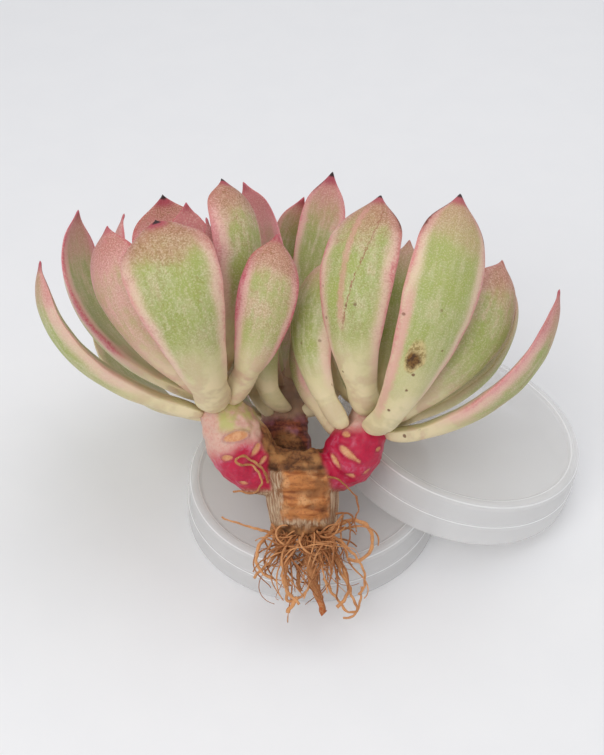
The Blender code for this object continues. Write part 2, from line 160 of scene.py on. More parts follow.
# Leaf scars on the stubs' fronts: place across and up, half length, half width, slope in degrees
SCARS = {
    "right": (
        (11.2, 9.6, 4.2, 0.85, -24),
        (11.0, 5.4, 6.0, 1.05, -38),
        (8.3, 3.2, 5.6, 0.85, -50),
        (19.2, 5.8, 2.8, 0.75, 4),
        (16.4, 0.2, 3.0, 0.7, 10),
        (12.4, -0.8, 2.8, 0.6, -30),
    ),
    "left": (
        (-11.6, 6.0, 5.0, 0.95, 54),
        (-19.0, 3.7, 4.6, 0.9, 15),
        (-16.4, 9.2, 5.2, 1.5, 14),
        (-9.9, 3.2, 3.6, 0.7, 48),
        (-15.0, -2.8, 2.8, 0.6, 5),
    ),
}
SCAR_FILL = 0.82  # how much of its width a scar's middle takes
SPIRAL_SCARS = 14  # on each stub's sides and back
SPIRAL_SCAR = (3.2, 0.8)
GOLDEN_ANGLE = radians(137.5)

# Thicker roots: the CAD solid they stand for, then radius at the start and end, and the path
ROOTS = {
    "root_main": (
        (1.5, 1.0),
        ((0.5, -3, -15), (1.6, -6, -21), (2.6, -7.5, -27), (4.4, -8.2, -32.5), (5.8, -8.4, -36)),
    ),
    "root_left": ((0.6, 0.3), ((-4, -4, -16.5), (-6, -8, -20), (-8.6, -9.5, -23.2), (-12.2, -9.8, -26.4))),
    "root_left_thin": (
        (0.42, 0.22),
        ((-6.5, -4, -16.6), (-9.5, -5.4, -15.4), (-13.2, -6, -14.2), (-17, -6.3, -13), (-20.6, -6.4, -11.6)),
    ),
    "root_left_curl": (
        (0.6, 0.32),
        ((-7.4, -3, -15.6), (-10, -7.5, -17.5), (-11.6, -10.4, -21.5), (-10.2, -11.6, -25))
        + ((-7.6, -11.8, -26.5),),
    ),
    "root_middle": (
        (0.7, 0.4),
        ((-2, -5, -16.5), (-3, -9, -20.5), (-4.2, -10.8, -26), (-3.4, -11, -30), (-0.8, -11.2, -33)),
    ),
    "root_right": (
        (0.75, 0.4),
        ((4, -4, -16), (8, -7, -20), (11, -8, -26), (11.6, -9, -31), (9, -9.8, -34.5)),
    ),
    "root_right_loop": (
        (0.6, 0.42),
        ((6.5, -4, -15.5), (10.5, -5, -13.2), (14.6, -5.4, -12.8), (17.4, -5.6, -15.4))
        + ((17.9, -5.8, -19.4), (15.2, -6, -22.6), (11.4, -6.2, -22.2)),
    ),
    "root_right_thin": (
        (0.42, 0.26),
        ((6.5, -6, -16), (11, -9.6, -18.5), (15.2, -10, -24), (15.8, -10.5, -28), (14.2, -10.8, -31)),
    ),
    "root_back": ((0.75, 0.45), ((2, 3, -16), (2, -1, -21), (-1, -3.6, -26), (-0.5, -4.2, -31))),
    "root_stub": (
        (0.38, 0.24),
        ((-8.6, -9.4, -2.6), (-9.6, -11, 0.6), (-12.6, -12.2, 3.2), (-15.4, -13, 4.3), (-16.6, -13.2, 3))
        + ((-15, -13.3, 2), (-12.4, -13, 2), (-10.4, -12.6, -0.6), (-10.6, -12, -4))
        + ((-13, -11.4, -4.9), (-17.4, -11.2, -4.7)),
    ),
}

# Thin roots that show one by one: radius at the start and end, and the path
THIN_ROOTS = (
    ((0.35, 0.2), ((6.5, -9, -1), (9, -10.4, -1.8), (11.8, -10.8, -4), (14, -10.4, -6.2))),
    ((0.3, 0.16), ((13.6, -10, -6), (14.4, -9.6, -9), (13.4, -9, -12), (13.8, -8.6, -15))),
    ((0.32, 0.16), ((8.6, -5, -11), (11.8, -6, -10.6), (13.2, -6, -12.6), (11.6, -6, -14.6))),
    ((0.3, 0.16), ((8, -6, -15), (11, -8, -12.4), (12.4, -8.4, -14.6), (10.8, -9, -19.6), (6.5, -10, -23))),
    (
        (0.34, 0.2),
        ((0.6, -8.6, -17), (-0.6, -10, -19.4), (2, -10.6, -20.8), (6.5, -11, -23.4), (8, -11.2, -20)),
    ),
    ((0.34, 0.2), ((2.8, -8.4, -16.8), (5.4, -10.6, -19), (7.6, -11, -22.6), (9.6, -11.2, -27))),
    (
        (0.36, 0.2),
        ((-7.8, -5, -13.6), (-6.4, -7.6, -15.6), (-8.4, -9, -19), (-9.4, -9.6, -24.5), (-6.4, -10, -27.4)),
    ),
    (
        (0.45, 0.3),
        ((7, -7, -18), (9.4, -9.6, -24), (12.4, -10.2, -30), (13.6, -10.6, -35), (10.6, -10.8, -37)),
    ),
    (
        (0.42, 0.28),
        ((5.4, -8, -27), (8.2, -9.4, -31), (11.6, -10, -35.4), (14.4, -10.2, -34), (14.8, -10, -29)),
    ),
    ((0.4, 0.3), ((-3.4, -9, -27), (-3.6, -10, -32), (-0.4, -10.4, -31), (2.4, -10.4, -28.6))),
    ((0.7, 0.5), ((-1.2, -10.6, -31.4), (-3.2, -11, -34), (-3.8, -11, -35.4))),
)


# ---- Small helpers --------------------------------------------------------------------------


def tone(code):
    """A colour from its six hexadecimal digits, as the linear values that shaders take."""
    parts = [int(code[i : i + 2], 16) / 255 for i in (0, 2, 4)]
    return tuple(p / 12.92 if p <= 0.04045 else ((p + 0.055) / 1.055) ** 2.4 for p in parts)


def ramp(low, high, values):
    """0 below low and 1 above high, or the other way round, with a smooth turn between."""
    share = np.clip((np.asarray(values, float) - low) / (high - low), 0, 1)
    return share * share * (3 - 2 * share)


def cloud(points, size, seed=0.0):
    """Smooth noise from -1 to 1 with features of this size, one value for each point."""
    offset = Vector((seed, 2.3 * seed, -1.7 * seed))
    return np.array([noise.noise(Vector(p) / size + offset) for p in points])


def to_world(points):
    """From millimetres in the plant's frame to the world's metres."""
    rotation = np.array(PLACING.to_3x3())
    return np.asarray(points, float) * MM @ rotation.T + np.array(PLACING.translation)


def to_plant(points):
    """The other way: from the world's metres to the plant's frame."""
    rotation = np.array(PLACING.to_3x3())
    return (np.asarray(points, float) - np.array(PLACING.translation)) @ rotation / MM


def welded(name):
    """Points in metres and triangles of a CAD node, with the points of touching faces made one."""
    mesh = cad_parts[name].data
    places = np.empty(len(mesh.vertices) * 3)
    mesh.vertices.foreach_get("co", places)
    points, index = np.unique(np.round(places.reshape(-1, 3), 7), axis=0, return_inverse=True)
    index = index.reshape(-1)
    faces = [tuple(index[v] for v in polygon.vertices) for polygon in mesh.polygons]
    return points, [face for face in faces if len(set(face)) == 3]


def evaluated(points, faces, modifiers):
    """The points, edges and faces that a mesh has after these modifiers."""
    mesh = bpy.data.meshes.new("scratch")
    mesh.from_pydata(points.tolist(), [], faces)
    obj = bpy.data.objects.new("scratch", mesh)
    bpy.context.scene.collection.objects.link(obj)
    for kind, settings in modifiers:
        modifier = obj.modifiers.new(kind.title(), kind)
        for key, value in settings.items():
            setattr(modifier, key, value)
    seen = obj.evaluated_get(bpy.context.evaluated_depsgraph_get()).to_mesh()
    places = np.empty(len(seen.vertices) * 3)
    seen.vertices.foreach_get("co", places)
    edges = np.empty(len(seen.edges) * 2, int)
    seen.edges.foreach_get("vertices", edges)
    polygons = [tuple(polygon.vertices) for polygon in seen.polygons]
    bpy.data.objects.remove(obj)
    bpy.data.meshes.remove(mesh)
    return places.reshape(-1, 3), edges.reshape(-1, 2), polygons


def new_piece(name, points, faces, finish, nodes=(), values=None):
    """A smooth mesh in world metres that rides on the object, with its named values per point."""
    mesh = bpy.data.meshes.new(name)
    mesh.from_pydata(np.asarray(points).tolist(), [], faces)
    for key, data in (values or {}).items():
        flat = np.asarray(data, np.float32)
        kind, field = ("FLOAT", "value") if flat.ndim == 1 else ("FLOAT_VECTOR", "vector")
        mesh.attributes.new(key, kind, "POINT").data.foreach_set(field, flat.ravel())
    mesh.materials.append(finish.material)
    mesh.shade_smooth()
    piece = bpy.data.objects.new(name, mesh)
    bpy.context.scene.collection.objects.link(piece)
    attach(piece, "root")
    if nodes:
        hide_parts(*nodes)
    return piece


def unit(way):
    """The way, one long."""
    return way / np.linalg.norm(way)


def circle(sides):
    """Angles at even steps all round."""
    return np.arange(sides) * 2 * pi / sides


def ring(turn, across, other):
    """Points of a unit circle that two ways span."""
    return np.outer(np.cos(turn), across) + np.outer(np.sin(turn), other)


def sheets(rings, sides):
    """The faces between rings of points that follow one another."""
    steps = [(i, (i + 1) % sides) for i in range(sides)]
    starts = range(0, (rings - 1) * sides, sides)
    return [(a + i, a + k, a + sides + k, a + sides + i) for a in starts for i, k in steps]


# ---- Materials ------------------------------------------------------------------------------


class Wire:
    """A value inside a material. Arithmetic on it adds Math nodes."""

    def __init__(self, finish, socket):
        self.finish = finish
        self.socket = socket

    def __add__(self, other):
        return self.finish.math("ADD", self, other)

    def __radd__(self, other):
        return self.finish.math("ADD", other, self)

    def __sub__(self, other):
        return self.finish.math("SUBTRACT", self, other)

    def __rsub__(self, other):
        return self.finish.math("SUBTRACT", other, self)

    def __mul__(self, other):
        return self.finish.math("MULTIPLY", self, other)

    def __rmul__(self, other):
        return self.finish.math("MULTIPLY", other, self)

    def smooth(self, low, high):
        """0 below low and 1 above high, with a smooth turn between."""
        settings = {"interpolation_type": "SMOOTHSTEP"}
        if low < high:
            return self.finish.add("ShaderNodeMapRange", settings, {0: self, 1: low, 2: high})
        return 1 - self.finish.add("ShaderNodeMapRange", settings, {0: self, 1: high, 2: low})


class Finish:
    """One material, and the nodes that make its colour and surface."""

    def __init__(self, name):
        self.material = bpy.data.materials.new(name)
        self.material.use_nodes = True
        self.tree = self.material.node_tree
        self.shader = self.tree.nodes["Principled BSDF"]

    def add(self, kind, settings, inputs, output=0):
        """The output of a new node of this kind: its settings come first, then its sockets."""
        node = self.tree.nodes.new(kind)
        for key, value in settings.items():
            setattr(node, key, value)
        for key, value in inputs.items():
            self.feed(node.inputs[key], value)
        return Wire(self, node.outputs[output])

    def feed(self, socket, value):
        """Links a wire, or sets a number, a vector or a colour, which may be hexadecimal digits."""
        if isinstance(value, Wire):
            self.tree.links.new(value.socket, socket)
        elif isinstance(value, str):
            socket.default_value = (*tone(value), 1.0)
        elif socket.type == "RGBA":
            socket.default_value = (*value, 1.0)
        else:
            socket.default_value = value

    def math(self, operation, first, second):
        return self.add("ShaderNodeMath", {"operation": operation}, {0: first, 1: second})

    def most(self, first, second):
        return self.math("MAXIMUM", first, second)

    def near(self, distance, width):
        """1 where the distance is 0, down to 0 where it is the width or more either way."""
        size = self.add("ShaderNodeMath", {"operation": "ABSOLUTE"}, {0: distance})
        return size.smooth(width, 0.2 * width)

    def value(self, name):
        return self.add("ShaderNodeAttribute", {"attribute_name": name}, {}, "Fac")

    def vector(self, name):
        return self.add("ShaderNodeAttribute", {"attribute_name": name}, {}, "Vector")

    def parts(self, name):
        """The three values that are stored as one vector."""
        vector = self.vector(name)
        return [self.add("ShaderNodeSeparateXYZ", {}, {0: vector}, axis) for axis in "XYZ"]

    def stretched(self, vector, scale):
        return self.add("ShaderNodeVectorMath", {"operation": "MULTIPLY"}, {0: vector, 1: scale})

    def noise(self, vector, scale, detail=2.0, roughness=0.5):
        inputs = {"Vector": vector, "Scale": scale, "Detail": detail, "Roughness": roughness}
        return self.add("ShaderNodeTexNoise", {}, inputs, "Fac")

    def mix(self, share, first, second):
        """A colour between two colours."""
        return self.add("ShaderNodeMix", {"data_type": "RGBA"}, {0: share, 6: first, 7: second}, 2)

    def over(self, color, *layers):
        """The colour with other colours laid over it in turn, each by its own share."""
        for share, top in layers:
            color = self.mix(share, color, top)
        return color

    def bump(self, height, strength, distance):
        inputs = {"Strength": strength, "Distance": distance, "Height": height}
        return self.add("ShaderNodeBump", {}, inputs)

    def surface(self, **inputs):
        """Sets the shader's own sockets, named with underscores for spaces."""
        for key, value in inputs.items():
            self.feed(self.shader.inputs[key.replace("_", " ")], value)


# ---- Leaves ---------------------------------------------------------------------------------


class LeafSettings(bpy.types.PropertyGroup):
    rings: IntProperty(name="Rings", description="Sections along a leaf", default=30, min=12, max=60)
    sides: IntProperty(name="Sides", description="Points round a section", default=28, min=12, max=48)
    spike: FloatProperty(
        name="Spike",
        description="Length of the hard point on a leaf's tip",
        default=0.6 * MM,
        min=0,
        max=3 * MM,
        unit="LENGTH",
    )
    waviness: FloatProperty(
        name="Waviness",
        description="How far a leaf's faces and margins wander",
        default=0.28 * MM,
        min=0,
        max=1 * MM,
        unit="LENGTH",
    )
    green: FloatVectorProperty(
        name="Green", description="Middle of an outer face", subtype="COLOR", default=tone("A0A85C")
    )
    cream: FloatVectorProperty(
        name="Cream", description="Base of a leaf", subtype="COLOR", default=tone("E8D6AE")
    )
    pink: FloatVectorProperty(
        name="Pink", description="Blush on the upper half", subtype="COLOR", default=tone("E29BA0")
    )
    rose: FloatVectorProperty(
        name="Rose", description="Thin line along the margin", subtype="COLOR", default=tone("D0506E")
    )


FOOT_POINTS = 13  # the CAD leaf's points that make its foot
WIDEST_LEAF = 18.0  # cuts farther from the midrib than this are of another bend of the leaf
MEASURED = (0.05, 0.985)  # where along the leaf its sections start and end
# Rings from the foot into the shoot: how far along the way in, and the size beside the foot's
FOOT_RINGS = ((0.2, 1.04), (0.4, 1.07), (0.6, 1.04), (0.8, 0.92), (1.0, 0.55))
SEED_STEP = 1.37  # between the noise seeds of two leaves


def steps_from(start, points, edges):
    """How far each point is from the start, along the mesh's edges."""
    near = [[] for _ in points]
    for a, b in edges:
        span = float(np.linalg.norm(points[a] - points[b]))
        near[a].append((b, span))
        near[b].append((a, span))
    far = np.full(len(points), np.inf)
    far[start] = 0
    queue = [(0.0, start)]
    while queue:
        reached, a = heappop(queue)
        if reached > far[a]:
            continue
        for b, span in near[a]:
            if reached + span < far[b]:
                far[b] = reached + span
                heappush(queue, (far[b], b))
    return far


class Leaf:
    """One CAD leaf measured along its midrib: a ring of points at each of many sections."""

    def __init__(self, name, head, settings):
        self.name = name
        points, faces = welded("leaf_" + name)
        points = to_plant(points)
        centre = np.array(HEADS[head])
        edges = {tuple(sorted((face[i], face[i - 1]))) for face in faces for i in range(3)}
        tip = int(np.argmax(np.linalg.norm(points - centre, axis=1)))
        far = steps_from(tip, points, edges)
        self.tip = points[tip]
        self.foot = points[np.argsort(far)[-FOOT_POINTS:]].mean(axis=0)
        self.find_plane(points)
        subdivide = [("SUBSURF", {"levels": 2})]
        self.points, self.edges, _ = evaluated(points, faces, subdivide)
        self.fit_midrib()
        self.measure(settings)

    def find_plane(self, points):
        """The leaf is alike on both sides of the plane through its midrib."""
        middle = points.mean(axis=0)
        guess = unit(np.cross(self.tip - self.foot, middle - self.foot))
        _, axes = np.linalg.eigh(np.cov((points - middle).T))
        across = axes[:, int(np.argmax(np.abs(guess @ axes)))]
        chord = self.tip - self.foot
        self.across = unit(across - chord * (across @ chord) / (chord @ chord))

    def fit_midrib(self):
        """The knee of the curve that runs best through the leaf's middle strip."""
        off = (self.points - self.foot) @ self.across
        strip = self.points[np.abs(off) < 0.16 * np.abs(off).max()]
        self.knee = 2 * strip.mean(axis=0) - (self.foot + self.tip) / 2
        along = np.linspace(0, 1, 80)
        for _ in range(8):
            curve = self.at(along[:, None])
            gaps = np.linalg.norm(strip[:, None] - curve[None], axis=2)
            t = along[gaps.argmin(axis=1)][:, None]
            bend = 2 * t * (1 - t)
            rest = strip - self.foot * (1 - t) ** 2 - self.tip * t**2
            self.knee = (bend * rest).sum(axis=0) / (bend**2).sum()
        self.knee = self.knee - self.across * ((self.knee - self.foot) @ self.across)
        inward = (self.foot + self.tip) / 2 - self.knee
        if np.cross(inward, self.tip - self.foot) @ self.across < 0:
            self.across = -self.across

    def at(self, t):
        """The midrib's place at t, from 0 at the foot to 1 at the tip."""
        return self.foot * (1 - t) ** 2 + self.knee * (2 * t * (1 - t)) + self.tip * t**2

    def along(self, t):
        """The midrib's way at t."""
        return unit((self.knee - self.foot) * (1 - t) + (self.tip - self.knee) * t)

    def section(self, t, sides):
        """The outline at t as half width, half depth, middle, cupping and shape, or None."""
        place, along = self.at(t), self.along(t)
        inward = np.cross(along, self.across)
        depth = (self.points - place) @ along
        a, b = self.edges[:, 0], self.edges[:, 1]
        cut = (depth[a] < 0) != (depth[b] < 0)
        a, b = a[cut], b[cut]
        share = (depth[a] / (depth[a] - depth[b]))[:, None]
        hits = self.points[a] * (1 - share) + self.points[b] * share - place
        x, y = hits @ self.across, hits @ inward
        near = np.hypot(x, y) < WIDEST_LEAF
        x, y = x[near], y[near]
        if len(x) < 10:
            return None
        centre = (x.max() + x.min()) / 2
        half = (x.max() - x.min()) / 2
        x = x - centre
        core = np.abs(x) < 0.2 * half
        margin = np.abs(x) > 0.93 * half
        if not core.any() or not margin.any():
            return None
        middle = (y[core].max() + y[core].min()) / 2
        deep = (y[core].max() - y[core].min()) / 2
        cup = (y[margin].mean() - middle) / half**2
        flat = y - middle - cup * x**2
        angle = np.arctan2(flat / deep, x / half)
        order = np.argsort(angle)
        wanted = circle(sides)
        across = np.interp(wanted, angle[order], (x / half)[order], period=2 * pi)
        inwards = np.interp(wanted, angle[order], (flat / deep)[order], period=2 * pi)
        return half, deep, middle, cup, centre, across, inwards

    def measure(self, settings):
        """Reads the sections and evens them out a little along the leaf."""
        wanted = 1 - (1 - np.linspace(*MEASURED, settings.rings)) ** 1.15  # closer to the tip
        found = [(t, self.section(t, settings.sides)) for t in wanted]
        found = [(t, section) for t, section in found if section]
        self.stations = np.array([t for t, _ in found])
        rows = [np.array([section[i] for _, section in found]) for i in range(7)]
        for row in rows:
            row[1:-1] = 0.25 * row[:-2] + 0.5 * row[1:-1] + 0.25 * row[2:]
        self.half, self.deep, self.mid, self.cup, self.centre, self.x, self.y = rows


def leaf_rings(leaf, head, settings, shoot):
    """The leaf's rings of points from inside the shoot to the tip, and each point's place on the
    leaf: along it, across it, which face, then across and along in millimetres and half width."""
    sides = settings.sides
    rings, places = [], []
    midrib = [leaf.at(t) for t in leaf.stations]
    reached = np.cumsum([0] + [np.linalg.norm(b - a) for a, b in zip(midrib, midrib[1:])])
    for j, t in enumerate(leaf.stations):
        along = leaf.along(t)
        inward = np.cross(along, leaf.across)
        pinch = 1 + 0.07 * ramp(0.72, 0.88, t) - 0.22 * ramp(0.90, 0.975, t)
        x = leaf.x[j] * leaf.half[j] * pinch
        crisp = 1 - 0.45 * np.abs(leaf.x[j]) ** 5
        y = leaf.y[j] * leaf.deep[j] * crisp
        y = y + leaf.mid[j] + leaf.cup[j] * x**2
        keel = 0.10 * ramp(0.3, 0.7, t) * np.exp(-((leaf.x[j] / 0.22) ** 2)) * (leaf.y[j] < 0)
        y = y - keel * leaf.deep[j]
        rings.append(leaf.at(t) + np.outer(x + leaf.centre[j], leaf.across) + np.outer(y, inward))
        same = np.ones(sides)
        places.append(
            np.column_stack([same * t, leaf.x[j], leaf.y[j], x, same * reached[j], same * leaf.half[j]])
        )
    # The foot widens a little and runs on into the shoot.
    first, middle = rings[0], rings[0].mean(axis=0)
    drop = FOOT_DROP.get(leaf.name, FOOT_DROP[head])
    target, outward = (np.array(v) for v in shoot.find_nearest(Vector(middle + drop))[:2])
    target = target - outward * FOOT_DEPTH
    bend = middle - leaf.along(MEASURED[0]) * 0.45 * np.linalg.norm(target - middle)
    for share, size in FOOT_RINGS:
        place = middle * (1 - share) ** 2 + bend * 2 * share * (1 - share) + target * share**2
        rings.insert(0, place + (first - middle) * size)
        places.insert(0, places[0].copy())
        places[0][:, 0] = -0.02 * share
        places[0][:, 4] = -share * np.linalg.norm(target - middle)
    # The tip ends in a short hard point.
    point, way = leaf.tip, leaf.along(1.0)
    inward = np.cross(way, leaf.across)
    spike = settings.spike / MM
    for rise, radius in ((-0.1, 0.5), (0.4 * spike, 0.3), (0.8 * spike, 0.14)):
        rings.append(point + way * rise + radius * ring(circle(sides), leaf.across, 0.8 * inward))
        last = places[-1].copy()
        last[:, 3] *= 0.1
        last[:, 0] = 1.0 + 0.01 * rise
        places.append(last)
    return rings, places, point + way * spike


def leaf_mesh(leaf, head, settings, shoot, seed):
    """Points and faces of one leaf, and each point's place on it."""
    rings, places, peak = leaf_rings(leaf, head, settings, shoot)
    sides = settings.sides
    points = np.vstack(rings + [peak[None]])
    place = np.vstack(places + [places[-1][:1]])
    place[-1, 0] = 1.02
    place[-1, 3] = 0.0
    # Faces and margins wander a little, as grown ones do.
    soft = ramp(0.05, 0.25, place[:, 0]) * ramp(1.0, 0.9, place[:, 0])
    amount = settings.waviness / MM * soft
    way = np.array([leaf.along(min(max(t, 0.0), 1.0)) for t in place[:, 0]])
    inward = np.cross(way, leaf.across)
    broad = cloud(points, 9.0, seed)[:, None]
    tight = cloud(points, 3.2, seed + 9)[:, None]
    points = points + inward * amount[:, None] * (0.9 * broad + 0.35 * tight)
    edge = ramp(0.7, 1.0, np.abs(place[:, 1]))
    points = points + np.outer(cloud(points, 5.0, seed + 4) * amount * edge * 1.2, leaf.across)
    faces = sheets(len(rings), sides)
    last = (len(rings) - 1) * sides
    faces += [(last + i, last + (i + 1) % sides, len(points) - 1) for i in range(sides)]
    faces.append(tuple(reversed(range(sides))))
    return points, faces, place


def leaf_values(name, points, place, seed):
    """The zones and marks of one leaf's skin."""
    t, side, face = place[:, 0], place[:, 1], place[:, 2]
    skin = np.column_stack([place[:, 3], place[:, 4], 7.0 * seed + 3.0 * (face > 0)])
    drift = cloud(points, 7.0, seed)
    fine = cloud(points, 2.4, seed + 5)
    look = LEAF_LOOKS.get(name)
    if look is None:
        draw = np.random.RandomState(int(seed * 10))
        look = (0.3 + 0.4 * draw.rand(), 0.3 + 0.3 * draw.rand(), 0.3 + 0.3 * draw.rand(), 0.7, 0.6)
    blush, speck, pale, rim, dark = look
    base = ramp(0.50, 0.06, t + 0.10 * drift + 0.05 * np.abs(side))
    edge = ramp(0.55, 1.0, np.abs(side) + 0.08 * drift + 0.03 * fine) * ramp(0.0, 0.3, t)
    crown = ramp(0.66, 1.0, t + 0.06 * drift + 0.02 * fine)
    spike = ramp(0.915, 1.0, t + 0.01 * fine) * ramp(5.0, 0.6, np.abs(place[:, 3]))
    scorch = np.zeros(len(t))
    if name in SCORCHED:
        start, *sides = SCORCHED[name]
        for way in sides:
            line = ramp(0.88, 0.95, side * way + 0.05 * fine)
            scorch = np.maximum(scorch, line * ramp(start - 0.02, start + 0.02, t + 0.03 * drift))
    blemish = np.zeros(len(t))
    if name == BLEMISH[0]:
        _, along, across, radius = BLEMISH
        down = (t - along) * place[:, 4].max()
        gap = np.hypot((place[:, 3] - across * place[:, 5]) * 1.25, 0.62 * down)
        blemish = ramp(radius * 1.25, radius * 0.6, gap + 0.4 * fine) * (face < 0.3)
        blemish = blemish * (0.40 + 0.60 * ramp(1.2, -1.6, down))
    first, last, band, start, end = LINES.get(name, (OFF, OFF, OFF, 2.0, 3.0))
    seen = ramp(start - 0.05, start + 0.05, t) * ramp(end + 0.04, end - 0.04, t) * (face < 0.3)
    across = first + (last - first) * (t - start) / (end - start)
    lines = [place[:, 3] - across * place[:, 5], place[:, 3] - band * place[:, 5], seen]
    return {
        "skin": skin,
        "lines": np.column_stack(lines),
        "zones": np.column_stack([base, edge * rim, crown]),
        "look": np.tile((blush, speck, pale), (len(t), 1)),
        "marks": np.column_stack([spike * dark, scorch, blemish]),
        "inner": ramp(0.0, 0.5, face),
        "flecks": (name in FLECKED) * ramp(0.75, 0.35, t + 0.2 * drift),
    }


def leaf_finish(settings):
    f = Finish("leaf_skin")
    skin = f.vector("skin")
    base, edge, crown = f.parts("zones")
    blush, speck, pale = f.parts("look")
    spike, brown, blemish = f.parts("marks")
    brown_line, pink_band, seen = f.parts("lines")
    inner = f.value("inner")
    streaks = f.noise(f.stretched(skin, (1.0, 0.16, 1.0)), 0.75, 3.0, 0.6)
    patches = f.noise(skin, 0.17, 3.0, 0.55)
    grain = f.noise(skin, 2.7, 2.0, 0.6)
    grit = f.noise(f.stretched(skin, (1.0, 0.7, 1.0)), 1.1, 4.0, 0.7)

    pale_share = (0.55 * streaks + 0.45 * patches).smooth(0.44, 0.62) * (0.15 + 0.8 * pale)
    inner_color = f.mix(streaks.smooth(0.4, 0.7) * 0.5, "99A468", "B4B890")
    base_share = base * (1 - 0.5 * inner) * (1 - 0.3 * patches.smooth(0.40, 0.62) - 0.1 * grit)
    flush = 0.5 * patches + 0.3 * streaks + 0.2 * grit
    pink_share = (blush * 0.95 + edge * 0.5 + crown * 0.40 + flush * 1.3 - 0.95).smooth(0.0, 0.9)
    speck_zone = speck * (1 - base).smooth(0.2, 1.0) * (1 - edge * 0.6) * (0.5 + 0.9 * crown)
    clumps = (0.6 * grit + 0.4 * patches).smooth(0.40, 0.58)
    wobble = (grit - 0.5) * 2.4
    broken = streaks.smooth(0.38, 0.55) * seen
    cells = {"Vector": skin, "Scale": 0.24}
    fleck = f.add("ShaderNodeTexVoronoi", {}, cells, "Distance") + (grit - 0.5) * 0.12
    chosen = f.add("ShaderNodeTexVoronoi", {}, cells, "Color")
    fleck = fleck.smooth(0.13, 0.07) * chosen.smooth(0.48, 0.52) * f.value("flecks")
    cork = f.mix(grit.smooth(0.42, 0.58), "4A2E12", "7A5524")
    pale_cork = f.mix(grit.smooth(0.42, 0.56), "9A8450", "C8B47E")
    cork = f.mix(blemish.smooth(0.80, 0.42), cork, pale_cork)
    color = f.over(
        settings.green,
        (patches.smooth(0.35, 0.65) * 0.6, "95A45C"),
        (pale_share * 0.8, "C9CCA2"),
        # Inner faces have a duller green.
        (inner * (1 - 0.85 * pale) * 0.85, inner_color),
        (base_share, settings.cream),
        (base * patches.smooth(0.46, 0.62) * blush.smooth(-0.1, 0.5) * 0.6, "D8AE96"),
        ((flush + crown * 0.3).smooth(0.42, 0.75) * 0.35 * (1 - base), "D8BE98"),
        (edge.smooth(0.02, 0.6) * 0.75, "EAC9B2"),
        (pink_share * (1 - base * 0.7) * 0.9, settings.pink),
        ((crown * (0.5 + 0.5 * blush)).smooth(0.08, 0.95) * 0.75, "D27B85"),
        (edge.smooth(0.64, 0.98) * (0.40 + 0.6 * grit.smooth(0.35, 0.6)), settings.rose),
        # Speckles lie thickest above the middle, and thin out to the base.
        ((flush + crown * 0.25).smooth(0.50, 0.74) * speck * 0.28, "9A8248"),
        (crown.smooth(0.1, 0.9) * speck * 0.5, "A0623F"),
        (grain.smooth(0.46, 0.62) * clumps * speck_zone * 0.75, "8E6A3C"),
        (grain.smooth(0.50, 0.36) * 0.30 * (1 - base), "E6D4BC"),
        # Band, line, flecks, corky scar, dried margin and the tip's point
        (f.near(pink_band + wobble, 1.4) * seen * 0.5, "D8918F"),
        (f.near(brown_line + wobble, 0.30) * broken * 0.75, "92503A"),
        (fleck * 0.85, "6B3F24"),
        (blemish.smooth(0.16, 0.42), cork),
        (brown * (0.6 + 0.4 * grit.smooth(0.4, 0.6)), "55301F"),
        (spike.smooth(0.1, 0.8) * 0.8, "A83A52"),
        (spike.smooth(0.84, 0.99), "2E1A1C"),
    )

    rough = 0.44 + 0.16 * grit + 0.15 * f.most(brown, blemish)
    height = 0.6 * grit + 0.4 * grain + 1.5 * blemish * grit - 0.5 * brown
    f.surface(
        Base_Color=color,
        Roughness=rough,
        Normal=f.bump(height, 0.22, 0.12 * MM),
        Subsurface_Weight=0.10,
        Subsurface_Radius=(1.0, 0.7, 0.35),
        Subsurface_Scale=1.6 * MM,
        Specular_IOR_Level=0.42,
    )
    return f


class SUCCULENT_OT_leaves(bpy.types.Operator):
    """Builds the leaves of all three heads"""

    bl_idname = "succulent.leaves"
    bl_label = "Leaves"

    def execute(self, context):
        settings = context.scene.succulent_leaves
        finish = leaf_finish(settings)
        points, faces = welded("stem")
        shoot = BVHTree.FromPolygons(to_plant(points).tolist(), faces)
        names = sorted(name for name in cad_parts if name.startswith("leaf_"))
        for index, node in enumerate(names):
            seed = index * SEED_STEP
            _, head, number = node.split("_")
            leaf = Leaf(f"{head}_{number}", head, settings)
            points, faces, place = leaf_mesh(leaf, head, settings, shoot, seed)
            values = leaf_values(leaf.name, points, place, seed)
            world = to_world(points)
            piece = new_piece(node + "_skin", world, faces, finish, [node], values)
            piece.modifiers.new("Smooth", "SUBSURF").levels = 1
        return {"FINISHED"}


# ---- Stem -----------------------------------------------------------------------------------


PIT_SHADE_AT = np.array((-1.8, -1.0, 5.9))  # painted shade of a pit in the trunk's top: a near-black spot, with no dent in the surface
PIT_SHADE_SIZE = (2.2, 3.0, 1.0)


class StemSettings(bpy.types.PropertyGroup):
    grain: FloatProperty(
        name="Grain",
        description="Size of the stem's faces",
        default=0.42 * MM,
        min=0.3 * MM,
        max=2 * MM,
        unit="LENGTH",
    )
    relief: FloatProperty(
        name="Relief", description="Scale on the bark's and scars' relief", default=1.0, min=0, max=2
    )
    crimson: FloatVectorProperty(
        name="Crimson", description="Young skin of the stubs", subtype="COLOR", default=tone("BE0A3C")
    )
    cork: FloatVectorProperty(
        name="Cork", description="Old bark round the trunk's top", subtype="COLOR", default=tone("8C5C34")
    )
    inner_bark: FloatVectorProperty(
        name="Inner bark",
        description="Bark where the skin has peeled",
        subtype="COLOR",
        default=tone("C27D44"),
    )


